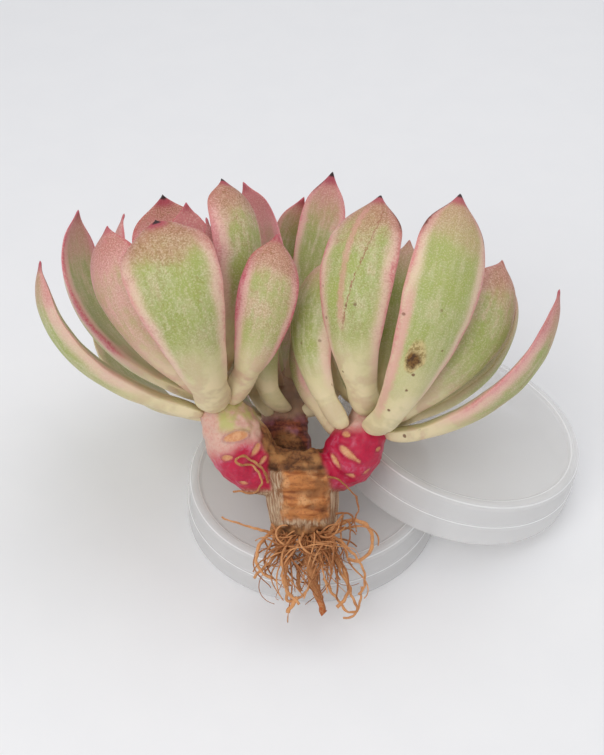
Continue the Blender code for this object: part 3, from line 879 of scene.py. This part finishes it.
def scar_places(surface):
    """Each leaf scar: its middle on the surface, its way round the stub, half length and width."""
    found = []
    for rows in SCARS.values():
        for x, z, length, width, slope in rows:
            hit = surface.ray_cast(Vector((x, -60, z)), Vector((0, 1, 0)))[0]
            if hit is not None:
                a = radians(slope)
                found.append((np.array(hit), np.array((cos(a), 0.0, sin(a))), length, width))
    # The sides and the back of each stub carry scars in a spiral.
    for head, base in STUB_FEET.items():
        start, end = np.array(base), np.array(HEADS[head])
        axis = unit(end - start)
        right = unit(np.cross(axis, (0, 1, 0)))
        other = np.cross(axis, right)
        for k in range(SPIRAL_SCARS):
            angle = k * GOLDEN_ANGLE + 0.7
            out = right * cos(angle) + other * sin(angle)
            if out[1] < 0.15:
                continue
            place = start + (end - start) * (0.08 + 0.9 * k / SPIRAL_SCARS)
            hit = surface.ray_cast(Vector(place + out * 30), Vector(-out))[0]
            if hit is not None:
                found.append((np.array(hit), np.cross(out, axis), *SPIRAL_SCAR))
    return found


def scar_masks(points, surface):
    """How far each point is in a scar, and on the raised lip round one."""
    inside, lip = np.zeros(len(points)), np.zeros(len(points))
    for middle, way, length, width in scar_places(surface):
        gap = points - middle
        near = (gap**2).sum(axis=1) < (length + 2) ** 2
        along = gap[near] @ way
        beside = np.sqrt(np.maximum((gap[near] ** 2).sum(axis=1) - along**2, 0))
        room = SCAR_FILL * width * np.maximum(1 - np.abs(along / length) ** 1.4, 0)
        inner = ramp(0.12, -0.12, beside - room) * (np.abs(along) < length)
        inside[near] = np.maximum(inside[near], inner)
        outer = ramp(0.75, 0.2, beside - room) * (np.abs(along) < length + 0.4)
        lip[near] = np.maximum(lip[near], outer)
    return inside, lip * (1 - inside)


def stem_zones(points):
    """How far each point is in the left stub, in either crimson stub, in the back stub, in peeled
    bark and in fibres, and the broad and the fine noise that fray the zones' edges."""
    x, y, z = points.T
    drift = cloud(points, 5.0, 3.0)
    ragged = cloud(points, 1.6, 8.0)
    left = ramp(-8.2, -9.8, x + 0.9 * drift + 0.15 * (z - 2))
    right = ramp(5.6, 7.2, x + 0.9 * drift + 0.25 * z)
    above = ramp(-5.5, -4.0, z + 0.5 * drift)
    back = ramp(3.4, 5.0, y + 0.6 * drift) * ramp(1.0, 3.0, z + 0.5 * drift)
    stub = np.maximum(left, right) * above
    back = back * (1 - stub)
    front = ramp(1.0, -2.0, y)
    low, high = ramp(-12.9, -11.4, z + 0.9 * ragged), ramp(1.2, 0.2, z + 0.9 * ragged + 0.8 * drift)
    peel = ramp(-5.6, -4.4, x + 0.8 * ragged + 0.8 * drift) * ramp(7.6, 6.2, x + 0.8 * ragged)
    peel = peel * low * high * front * (1 - stub)
    fibres = ramp(1.0, -0.2, z + 0.7 * ragged) * ramp(-14.5, -13.0, z + ragged) * (1 - peel) * (1 - stub)
    return left * above, stub, back, peel, fibres, drift, ragged


def stem_relief(points, zones, inside, lip):
    """How far the surface stands out at each point, in millimetres."""
    _, stub, back, peel, fibres, drift, ragged = zones
    x, y, z = points.T
    angle = np.arctan2(y, x - 0.4)
    around = np.column_stack([np.cos(angle) * TRUNK_RADIUS, np.sin(angle) * TRUNK_RADIUS, z])
    strands = cloud(around * (1, 1, 0.10), 1.0, 2.0) + 0.5 * cloud(around * (1, 1, 0.14), 0.5, 6.0)
    creases = cloud(around * (0.25, 0.25, 1.0), 1.9, 4.0)
    lumps = cloud(points, 2.6, 12.0)
    plain = np.clip(1 - stub - back - peel - fibres, 0, 1)
    height = fibres * (0.15 + 0.42 * strands)
    height += peel * (-0.20 + 1.1 * np.minimum(creases, 0.2) + 0.6 * lumps + 0.25 * ragged)
    height += plain * (0.5 * ragged + 0.9 * lumps + 0.8 * creases)
    height -= 0.6 * np.exp(-(((z - 1.0 - 0.8 * drift) / 0.7) ** 2)) * (1 - stub) * (1 - back)
    bands = cloud(points * (0.3, 0.3, 1.0), 2.6, 20.0)
    height += back * (0.6 * bands + 0.25 * ragged)
    height += stub * (0.2 * ragged + 0.35 * lumps)
    height += (stub + back) * (0.28 * lip - 0.18 * inside)
    return height


def stem_finish(settings):
    f = Finish("stem_bark")
    place = f.vector("skin")
    stub, back, pale = f.parts("zones")
    peel, fibres, pit_shade = f.parts("bark")
    scar, lip, sprout = f.parts("scars")
    broad = f.noise(place, 0.22, 3.0, 0.55)
    fine = f.noise(place, 1.4, 4.0, 0.65)
    strands = f.noise(f.stretched(place, (1.0, 1.0, 0.09)), 1.5, 4.0, 0.65)
    creases = f.noise(f.stretched(place, (0.16, 0.16, 1.0)), 0.75, 3.0, 0.6)

    cork = f.over(
        "4E2C17",
        ((0.5 * fine + 0.5 * creases).smooth(0.36, 0.60), settings.cork),
        (broad.smooth(0.46, 0.66) * 0.75, "B88450"),
    )
    fibre = f.over(
        "8A5E3C", (strands.smooth(0.38, 0.62), "C4A98A"), (strands.smooth(0.60, 0.70) * 0.7, "D9CBB4")
    )
    wood = f.over(
        "8E4C20",
        (creases.smooth(0.32, 0.52), settings.inner_bark),
        (broad.smooth(0.46, 0.66) * 0.7, "DBA570"),
        (fine.smooth(0.50, 0.36) * 0.5, "8E5328"),
    )
    skin = f.over(
        settings.crimson,
        (fine.smooth(0.4, 0.7) * 0.35, "8E1138"),
        (broad.smooth(0.50, 0.72) * fine.smooth(0.35, 0.6) * 0.55, "D9809E"),
        (pale * (0.75 + 0.25 * fine.smooth(0.3, 0.6)), "D6AE9C"),
        (sprout * broad.smooth(0.35, 0.6), "B9B26C"),
    )
    old = f.over(
        "5E2622",
        ((0.6 * creases + 0.4 * fine).smooth(0.38, 0.62), "A25A3C"),
        (broad.smooth(0.48, 0.66) * 0.6, "A86A80"),
        (pale * 0.8, "B79A80"),
    )
    scarred = (stub + back).smooth(0.3, 0.8)
    scar_color = f.mix(fine.smooth(0.35, 0.65) * 0.5, "CC8A5C", "E4B485")
    # Painted shade: dark brown where the relief sinks below the surface, in creases and the groove under the
    # collar, less on the stubs and peeled bark, none in the scars.
    painted_crease_shade = f.value("relief").smooth(0.0, -0.9) * (0.8 - 0.5 * stub - 0.35 * peel) * (1 - scar)
    color = f.over(
        cork,
        (fibres, fibre),
        (peel, wood),
        (stub, skin),
        (back, old),
        # Painted shade: the raised lip round each scar is drawn darker crimson.
        (lip * scarred * 0.35, "7E1E30"),
        (scar * scarred, scar_color),
        (painted_crease_shade, "351C10"),
        # Painted shade: the near-black spot of a pit in the trunk's top.
        (pit_shade, "140C08"),
    )

    soft = (stub + back * 0.6).smooth(0.1, 1.0)
    rough = 0.78 - 0.36 * soft + 0.10 * fine - 0.12 * peel
    height = fine * (1 - 0.75 * soft) + strands * fibres * 1.4 + creases * peel * 0.8
    f.surface(
        Base_Color=color,
        Roughness=rough,
        Normal=f.bump(height, 0.55, 0.3 * MM),
        Subsurface_Weight=0.08,
        Subsurface_Radius=(1.0, 0.3, 0.2),
        Subsurface_Scale=1.0 * MM,
        Specular_IOR_Level=0.45,
    )
    return f


class SUCCULENT_OT_stem(bpy.types.Operator):
    """Builds the trunk with its bark, and the three stubs with their leaf scars"""

    bl_idname = "succulent.stem"
    bl_label = "Stem"

    def execute(self, context):
        settings = context.scene.succulent_stem
        points, faces = welded("stem")
        remesh = {"mode": "VOXEL", "voxel_size": settings.grain}
        soften = {"factor": 0.6, "iterations": 14}
        points, _, faces = evaluated(points, faces, [("REMESH", remesh), ("SMOOTH", soften)])
        points = to_plant(points)
        surface = BVHTree.FromPolygons(points.tolist(), faces)
        zones = stem_zones(points)
        left, stub, back, peel, fibres, drift, _ = zones
        inside, lip = scar_masks(points, surface)
        height = stem_relief(points, zones, inside, lip) * settings.relief
        points = points + point_normals(points, faces) * height[:, None]
        x, _, z = points.T
        # The stubs pale towards their tops, the left one lower down on its outer side.
        outer = 3.6 * ramp(-14.0, -22.0, x)
        pale = left * ramp(5.0, 10.0, z + drift + outer) + (stub - left) * ramp(9.5, 13.0, z + drift)
        pale = pale + back * ramp(12.0, 15.5, z + drift)
        sprout = left * ramp(9.0, 12.0, z) * ramp(-22.5, -20.0, x)
        # Painted shade: a near-black spot where a pit in the trunk's top would lie in shade.
        gap = np.linalg.norm((points - PIT_SHADE_AT) / PIT_SHADE_SIZE, axis=1)
        pit_shade = ramp(1.1, 0.7, gap)
        values = {
            "skin": points,
            "zones": np.column_stack([stub, back, np.clip(pale, 0, 1)]),
            "bark": np.column_stack([peel, fibres, pit_shade]),
            "scars": np.column_stack([inside, lip, sprout]),
            "relief": height,
        }
        new_piece("stem_skin", to_world(points), faces, stem_finish(settings), ["stem"], values)
        return {"FINISHED"}


def point_normals(points, faces):
    """The outward way at each point of a closed mesh."""
    corners = np.array([face[:3] for face in faces])
    a, b, c = (points[corners[:, i]] for i in range(3))
    flat = np.cross(b - a, c - a)
    total = np.zeros_like(points)
    for face_corner in range(len(faces[0])):
        index = np.array([face[min(face_corner, len(face) - 1)] for face in faces])
        np.add.at(total, index, flat)
    return total / np.maximum(np.linalg.norm(total, axis=1, keepdims=True), 1e-12)


# ---- Roots ----------------------------------------------------------------------------------


class RootSettings(bpy.types.PropertyGroup):
    hairs: IntProperty(
        name="Hairs", description="Fine roots in the tangle under the trunk", default=130, min=0, max=300
    )
    seed: IntProperty(name="Seed", description="Which tangle is drawn", default=7, min=0)
    bright: FloatVectorProperty(
        name="Bright", description="Fresh root", subtype="COLOR", default=tone("D69A66")
    )
    dark: FloatVectorProperty(name="Dark", description="Old root", subtype="COLOR", default=tone("9C6238"))


OVER_LID, OVER_FLOOR = 0.4, 0.3  # what roots keep clear of the flat lid and of the floor


def curve_through(places, spacing):
    """Evenly close points on a smooth curve through the places."""
    places = np.array(places, float)
    before, after = 2 * places[0] - places[1], 2 * places[-1] - places[-2]
    known = np.vstack([before, places, after])
    found = []
    for a, b, c, d in zip(known, known[1:], known[2:], known[3:]):
        count = max(2, int(np.linalg.norm(c - b) / spacing))
        t = np.arange(count)[:, None] / count
        square, cube = 2 * a - 5 * b + 4 * c - d, 3 * b - a - 3 * c + d
        found.append(0.5 * (2 * b + (c - a) * t + square * t**2 + cube * t**3))
    return np.vstack([*found, known[-2][None]])


def above_ground(point, radius):
    """The point, brought forward where it would lie in the flat lid or the floor."""
    world = to_world(point[None])[0]
    middle = np.array(FLAT_LID)
    on_lid = np.hypot(world[0] - middle[0], world[1] - middle[1]) < LID_RADIUS * MM
    ground = (LID_TOP_LEVEL + OVER_LID if on_lid else OVER_FLOOR) + radius
    short = ground - world[2] / MM
    return point + np.array((0, -short / sin(LEAN), 0)) if short > 0 else point


def tube(path, radii, sides, seed):
    """Points and faces of a closed, slightly uneven tube along a path."""
    points = []
    way = np.gradient(path, axis=0)
    way /= np.maximum(np.linalg.norm(way, axis=1, keepdims=True), 1e-9)
    across = np.cross(way[0], (0.3, 0.5, 0.8))
    turn = circle(sides)
    for place, along, radius in zip(path, way, radii):
        across = unit(across - along * (across @ along))
        lump = 1 + 0.35 * noise.noise(Vector(place) / 1.3 + Vector((seed, 0, 0)))
        points.append(place + ring(turn, across, np.cross(along, across)) * radius * lump)
    last = (len(path) - 1) * sides
    ends = [tuple(reversed(range(sides))), tuple(range(last, last + sides))]
    return np.vstack(points), sheets(len(path), sides) + ends


def root_mesh(strands, sides=8):
    """One mesh of many roots: each strand is a path, its radii and its own seed."""
    points, faces, values, count = [], [], [], 0
    for path, radii, seed in strands:
        more, skin = tube(path, radii, sides, seed)
        faces += [tuple(v + count for v in face) for face in skin]
        points.append(more)
        share = np.repeat(np.linspace(0, 1, len(path)), sides)
        shade = 0.5 + 0.5 * sin(seed * 12.9)
        values.append(np.column_stack([share, np.full(len(share), shade), np.repeat(radii, sides)]))
        count += len(more)
    return np.vstack(points), faces, np.vstack(values)


FOOT_RADIUS = 8.6  # of the trunk's foot, where fine roots start
TANGLE_AT, TANGLE_SIZE = np.array((3.0, -8.5, -24.5)), np.array((12.5, 5.5, 11.0))
STEP = 0.7  # between the points of a fine root


def wander(draw):
    """One fine root: it leaves the trunk's foot, bends in slow curls and stays near the tangle."""
    angle = draw.uniform(-pi, pi) if draw.rand() < 0.35 else draw.uniform(-pi * 0.95, -pi * 0.05)
    out = np.array((cos(angle), sin(angle), 0.0))
    rim = draw.uniform(0.55, 0.97)
    place = out * FOOT_RADIUS * rim + np.array((0.8, 0.8, draw.uniform(-16.9, -14.6)))
    way = out * draw.uniform(0.3, 1.0) + np.array((0, -0.2, -draw.uniform(0.3, 1.0)))
    if draw.rand() < 0.45:
        way = np.array((-out[1], out[0], 0.0)) * draw.choice((-1, 1)) + 0.35 * way
    axis = draw.normal(size=3)
    bend = draw.uniform(0.06, 0.30) * draw.choice((-1, 1))
    length = draw.uniform(9, 26)
    radius = draw.uniform(0.14, 0.42)
    path = []
    for _ in range(int(length / STEP)):
        place = above_ground(place, radius)
        path.append(place)
        axis = axis + 0.35 * draw.normal(size=3)
        turn = Quaternion(Vector(axis).normalized(), bend * STEP)
        way = np.array(turn @ Vector(way))
        outside = (place - TANGLE_AT) / TANGLE_SIZE
        if outside @ outside > 1:
            way = way - 0.16 * outside
        way[2] -= 0.02
        way = unit(way)
        place = place + way * STEP
    path = np.array(path)
    return path, radius * np.linspace(1.0, 0.45, len(path)), draw.uniform(0, 50)


def root_finish(settings):
    f = Finish("root_fibre")
    place = f.vector("skin")
    share, shade, thick = f.parts("strand")
    broad = f.noise(place, 0.5, 3.0, 0.6)
    fine = f.noise(place, 2.6, 3.0, 0.65)
    color = f.over(
        settings.dark,
        ((0.5 * shade + 0.7 * broad).smooth(0.36, 0.95), settings.bright),
        (fine.smooth(0.54, 0.72) * 0.5, "DDB78C"),
        ((share * thick).smooth(0.75, 1.0) * fine.smooth(0.45, 0.55), "A9501F"),
        (fine.smooth(0.40, 0.28) * 0.55, "4A2A16"),
    )
    f.surface(
        Base_Color=color,
        Roughness=0.68 + 0.2 * fine,
        Normal=f.bump(fine + broad, 0.5, 0.15 * MM),
        Specular_IOR_Level=0.35,
    )
    return f


class SUCCULENT_OT_roots(bpy.types.Operator):
    """Builds the thick roots one by one, and the tangle of thin ones"""

    bl_idname = "succulent.roots"
    bl_label = "Roots"

    def execute(self, context):
        settings = context.scene.succulent_roots
        finish = root_finish(settings)
        for seed, (node, (ends, places)) in enumerate(ROOTS.items()):
            strand = self.strand(ends, places, seed + 0.5, 0.45)
            points, faces, values = root_mesh([strand], 12)
            data = {"skin": points, "strand": values}
            new_piece(node + "_skin", to_world(points), faces, finish, [node], data)
        strands = [self.strand(ends, places, 20.3 + i, 0.3) for i, (ends, places) in enumerate(THIN_ROOTS)]
        draw = np.random.RandomState(settings.seed)
        strands += [wander(draw) for _ in range(settings.hairs)]
        points, faces, values = root_mesh(strands)
        data = {"skin": points, "strand": values}
        new_piece("root_tangle", to_world(points), faces, finish, (), data)
        return {"FINISHED"}

    def strand(self, ends, places, seed, spacing):
        """A root that wavers along its path: the path, its radii and its seed."""
        start, end = ends
        path = curve_through(places, spacing)
        wave = np.column_stack([cloud(path, 1.8, seed + k) for k in (0, 3, 6)])
        radii = start + (end - start) * np.linspace(0, 1, len(path)) ** 0.8
        path = path + 0.6 * wave * np.linspace(0, 1, len(path))[:, None] ** 0.3
        path = np.array([above_ground(p, r) for p, r in zip(path, radii)])
        return path, radii, seed


# ---- Lids -----------------------------------------------------------------------------------


class LidSettings(bpy.types.PropertyGroup):
    sides: IntProperty(name="Sides", description="Steps round a lid", default=144, min=48, max=360)
    tint: FloatVectorProperty(
        name="Tint", description="Frosted plastic", subtype="COLOR", default=tone("F2F1F0")
    )
    body: FloatProperty(
        name="Body", description="Share of light the plastic stops", default=0.33, min=0.05, max=1
    )


CORNER = 0.7  # how far from a lid's corner its rounding starts


def lid_profile():
    """Half section of a lid from the axis under its top, round the wall, and back over the top:
    radius, height, and how much the corner catches the light."""
    r, h, recess, wall, step, top = LID_RADIUS, LID_HEIGHT, LID_RECESS, 1.4, 0.8, 1.5
    rim = r - step
    return [
        (0.0, h - recess - top, 0),
        (rim - wall - 2.0, h - recess - top, 0),
        (rim - wall, h - recess - top - 0.8, 0),
        (rim - wall, h * 0.5, 0),
        (r - wall, h * 0.4, 0),
        (r - wall, 0.0, 0.2),
        (r, 0.0, 0.6),
        (r, h * 0.43, 0),
        (r - 0.3, h * 0.48, 1),
        (rim, h * 0.50, 0),
        (rim, h - 1.4, 0),
        (rim - 0.5, h - 0.4, 1),
        (rim - 1.4, h, 0),
        (rim - 2.8, h, 1),
        (rim - 3.6, h - recess, 0),
        (0.0, h - recess, 0),
    ]


def rounded(profile, radius):
    """The same outline with each corner turned in a small arc."""
    points = np.array(profile, float)
    found = [points[0]]
    for before, corner, after in zip(points, points[1:], points[2:]):
        back, on = before - corner, after - corner
        reach = min(radius, 0.4 * np.linalg.norm(back[:2]), 0.4 * np.linalg.norm(on[:2]))
        start = corner + back / np.linalg.norm(back[:2]) * reach
        end = corner + on / np.linalg.norm(on[:2]) * reach
        start[2] = end[2] = 0
        for t in (0.0, 0.33, 0.67, 1.0):
            place = start * (1 - t) ** 2 + corner * 2 * t * (1 - t) + end * t**2
            place[2] = corner[2] * (0 < t < 1)
            found.append(place)
    return found + [points[-1]]


def turned(outline, sides):
    """The closed body an outline makes round the Z axis, with the outline's shine on its points."""
    turn = circle(sides)
    points, shine = [], []
    for radius, height, share in outline[1:-1]:
        points += [(radius * cos(a), radius * sin(a), height) for a in turn]
        shine += [share] * sides
    rows = len(outline) - 2
    faces = sheets(rows, sides)
    below, above, last = rows * sides, rows * sides + 1, (rows - 1) * sides
    points += [(0, 0, outline[0][1]), (0, 0, outline[-1][1])]
    faces += [(below, (i + 1) % sides, i) for i in range(sides)]
    faces += [(above, last + i, last + (i + 1) % sides) for i in range(sides)]
    return np.array(points), faces, shine + [0, 0]


def lid_finish(settings):
    f = Finish("frosted_plastic")
    place = f.vector("skin")
    shine = f.value("shine")
    fine = f.noise(place, 0.9, 2.0)
    broad = f.noise(place, 0.045, 2.0)
    f.surface(
        Base_Color=f.over(settings.tint, (broad.smooth(0.35, 0.7) * 0.3, "E2E1DF"), (shine, "FBFBFB")),
        Roughness=0.26 + 0.12 * fine,
        Normal=f.bump(fine + 0.5 * broad, 0.04, 0.2 * MM),
        Alpha=f.most(shine * 0.6, settings.body + 0.08 * broad),
        IOR=1.46,
        Specular_IOR_Level=0.6,
    )
    return f


class SUCCULENT_OT_lids(bpy.types.Operator):
    """Builds the flat lid and the tilted lid that lies on its rim"""

    bl_idname = "succulent.lids"
    bl_label = "Lids"

    def execute(self, context):
        settings = context.scene.succulent_lids
        finish = lid_finish(settings)
        flat = Matrix.Translation((FLAT_LID.x, FLAT_LID.y, 0))
        tilt = asin((LID_HEIGHT + LID_GAP) / (LID_RADIUS + LIDS_APART.length / 2))
        shift = Matrix.Translation(Vector((*LIDS_APART, LID_RADIUS * sin(tilt))) * MM)
        tilted = flat @ shift @ Matrix.Rotation(tilt, 4, Vector((-LIDS_APART.y, LIDS_APART.x, 0)))
        for node, placing in (("lid_flat", flat), ("lid_tilted", tilted)):
            self.make(node, placing, finish, settings)
        return {"FINISHED"}

    def make(self, node, placing, finish, settings):
        points, faces, shine = turned(rounded(lid_profile(), CORNER), settings.sides)
        placed = points * MM @ np.array(placing.to_3x3()).T + np.array(placing.translation)
        values = {"shine": shine, "skin": points}
        new_piece(node + "_turned", placed, faces, finish, [node], values)


# ---- Stage ----------------------------------------------------------------------------------


FLOOR_REACH = 4.0
VIEW_RAISED = 24 * MM  # the view's middle is this far up the plant's frame
LAMP_SIZE = 0.5
SKY_COLOR = (0.96, 0.97, 1.0, 1.0)
# Each lamp's name, its place in metres, and its share of the set power
LAMPS = (("key_light", (0.16, 0.14, 0.62), 1.0), ("front_light", (-0.30, -0.44, 0.60), 2.3))


class StageSettings(bpy.types.PropertyGroup):
    floor: FloatVectorProperty(
        name="Floor", description="Pale table top", subtype="COLOR", default=tone("EDEDEE")
    )
    distance: FloatProperty(
        name="Distance",
        description="From the camera to the plant's frame",
        default=364 * MM,
        min=0.1,
        unit="LENGTH",
    )
    lens: FloatProperty(name="Lens", description="Focal length in millimetres", default=66.8, min=20)
    sky: FloatProperty(name="Sky", description="Strength of the light from all round", default=0.61, min=0)
    key: FloatProperty(name="Key", description="Power of the large lamp, in watts", default=1.0, min=0)


class SUCCULENT_OT_stage(bpy.types.Operator):
    """Builds the floor, the light and the camera"""

    bl_idname = "succulent.stage"
    bl_label = "Stage"

    def execute(self, context):
        settings = context.scene.succulent_stage
        self.make_floor(settings)
        self.make_light(settings)
        self.make_camera(settings)
        context.scene.view_settings.view_transform = "Standard"
        return {"FINISHED"}

    def make_floor(self, settings):
        f = Finish("table_top")
        place = f.add("ShaderNodeTexCoord", {}, {}, "Object")
        speckle = f.noise(place, 60.0, 3.0)
        f.surface(
            Base_Color=f.mix(speckle.smooth(0.3, 0.7) * 0.12, settings.floor, "E2E3E6"),
            Roughness=0.62 + 0.08 * speckle,
            Specular_IOR_Level=0.3,
        )
        mesh = bpy.data.meshes.new("floor")
        corners = [(x * FLOOR_REACH, y * FLOOR_REACH, 0) for x, y in ((-1, -1), (1, -1), (1, 1), (-1, 1))]
        mesh.from_pydata(corners, [], [(0, 1, 2, 3)])
        mesh.materials.append(f.material)
        floor = bpy.data.objects.new("floor", mesh)
        bpy.context.scene.collection.objects.link(floor)
        floor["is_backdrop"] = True

    def make_light(self, settings):
        world = bpy.data.worlds.new("soft_room")
        world.use_nodes = True
        background = world.node_tree.nodes["Background"]
        background.inputs["Color"].default_value = SKY_COLOR
        background.inputs["Strength"].default_value = settings.sky
        bpy.context.scene.world = world
        for name, place, share in LAMPS:
            lamp = bpy.data.lights.new(name, "AREA")
            lamp.size = LAMP_SIZE
            lamp.energy = settings.key * share
            light = bpy.data.objects.new(name, lamp)
            light.location = place
            light.rotation_euler = (-Vector(place)).to_track_quat("-Z", "Y").to_euler()
            bpy.context.scene.collection.objects.link(light)

    def make_camera(self, settings):
        camera = bpy.data.cameras.new("camera")
        camera.lens = settings.lens
        camera.sensor_width = 36
        camera.clip_start = 0.01
        obj = bpy.data.objects.new("camera", camera)
        place = Matrix.Translation((0, -settings.distance, VIEW_RAISED))
        obj.matrix_world = PLACING @ place @ Matrix.Rotation(radians(90), 4, "X")
        bpy.context.scene.collection.objects.link(obj)
        bpy.context.scene.camera = obj


# ---- Panel and running ----------------------------------------------------------------------


class SUCCULENT_PT_panel(bpy.types.Panel):
    """Lists the steps that build the succulent"""

    bl_label = "Succulent"
    bl_idname = "SUCCULENT_PT_panel"
    bl_space_type = "VIEW_3D"
    bl_region_type = "UI"
    bl_category = "Succulent"

    def draw(self, context):
        for name, group in SETTINGS.items():
            box = self.layout.box()
            box.operator("succulent." + name)
            settings = getattr(context.scene, "succulent_" + name)
            for prop in group.__annotations__:
                box.prop(settings, prop)


SETTINGS = {
    "lids": LidSettings,
    "stem": StemSettings,
    "roots": RootSettings,
    "leaves": LeafSettings,
    "stage": StageSettings,
}
CLASSES = (
    *SETTINGS.values(),
    SUCCULENT_OT_lids,
    SUCCULENT_OT_stem,
    SUCCULENT_OT_roots,
    SUCCULENT_OT_leaves,
    SUCCULENT_OT_stage,
    SUCCULENT_PT_panel,
)


def register():
    for cls in CLASSES:
        bpy.utils.register_class(cls)
    for name, group in SETTINGS.items():
        setattr(bpy.types.Scene, "succulent_" + name, PointerProperty(type=group))


def unregister():
    for name in SETTINGS:
        delattr(bpy.types.Scene, "succulent_" + name)
    for cls in reversed(CLASSES):
        bpy.utils.unregister_class(cls)


def main():
    register()
    bpy.ops.succulent.lids()
    bpy.ops.succulent.stem()
    bpy.ops.succulent.roots()
    bpy.ops.succulent.leaves()
    bpy.ops.succulent.stage()
    sizes = {"cad": CAD_BOX, "visual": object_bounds()}
    sizes = {name: [list(corner) for corner in box] for name, box in sizes.items()}


if __name__ == "__main__":
    main()
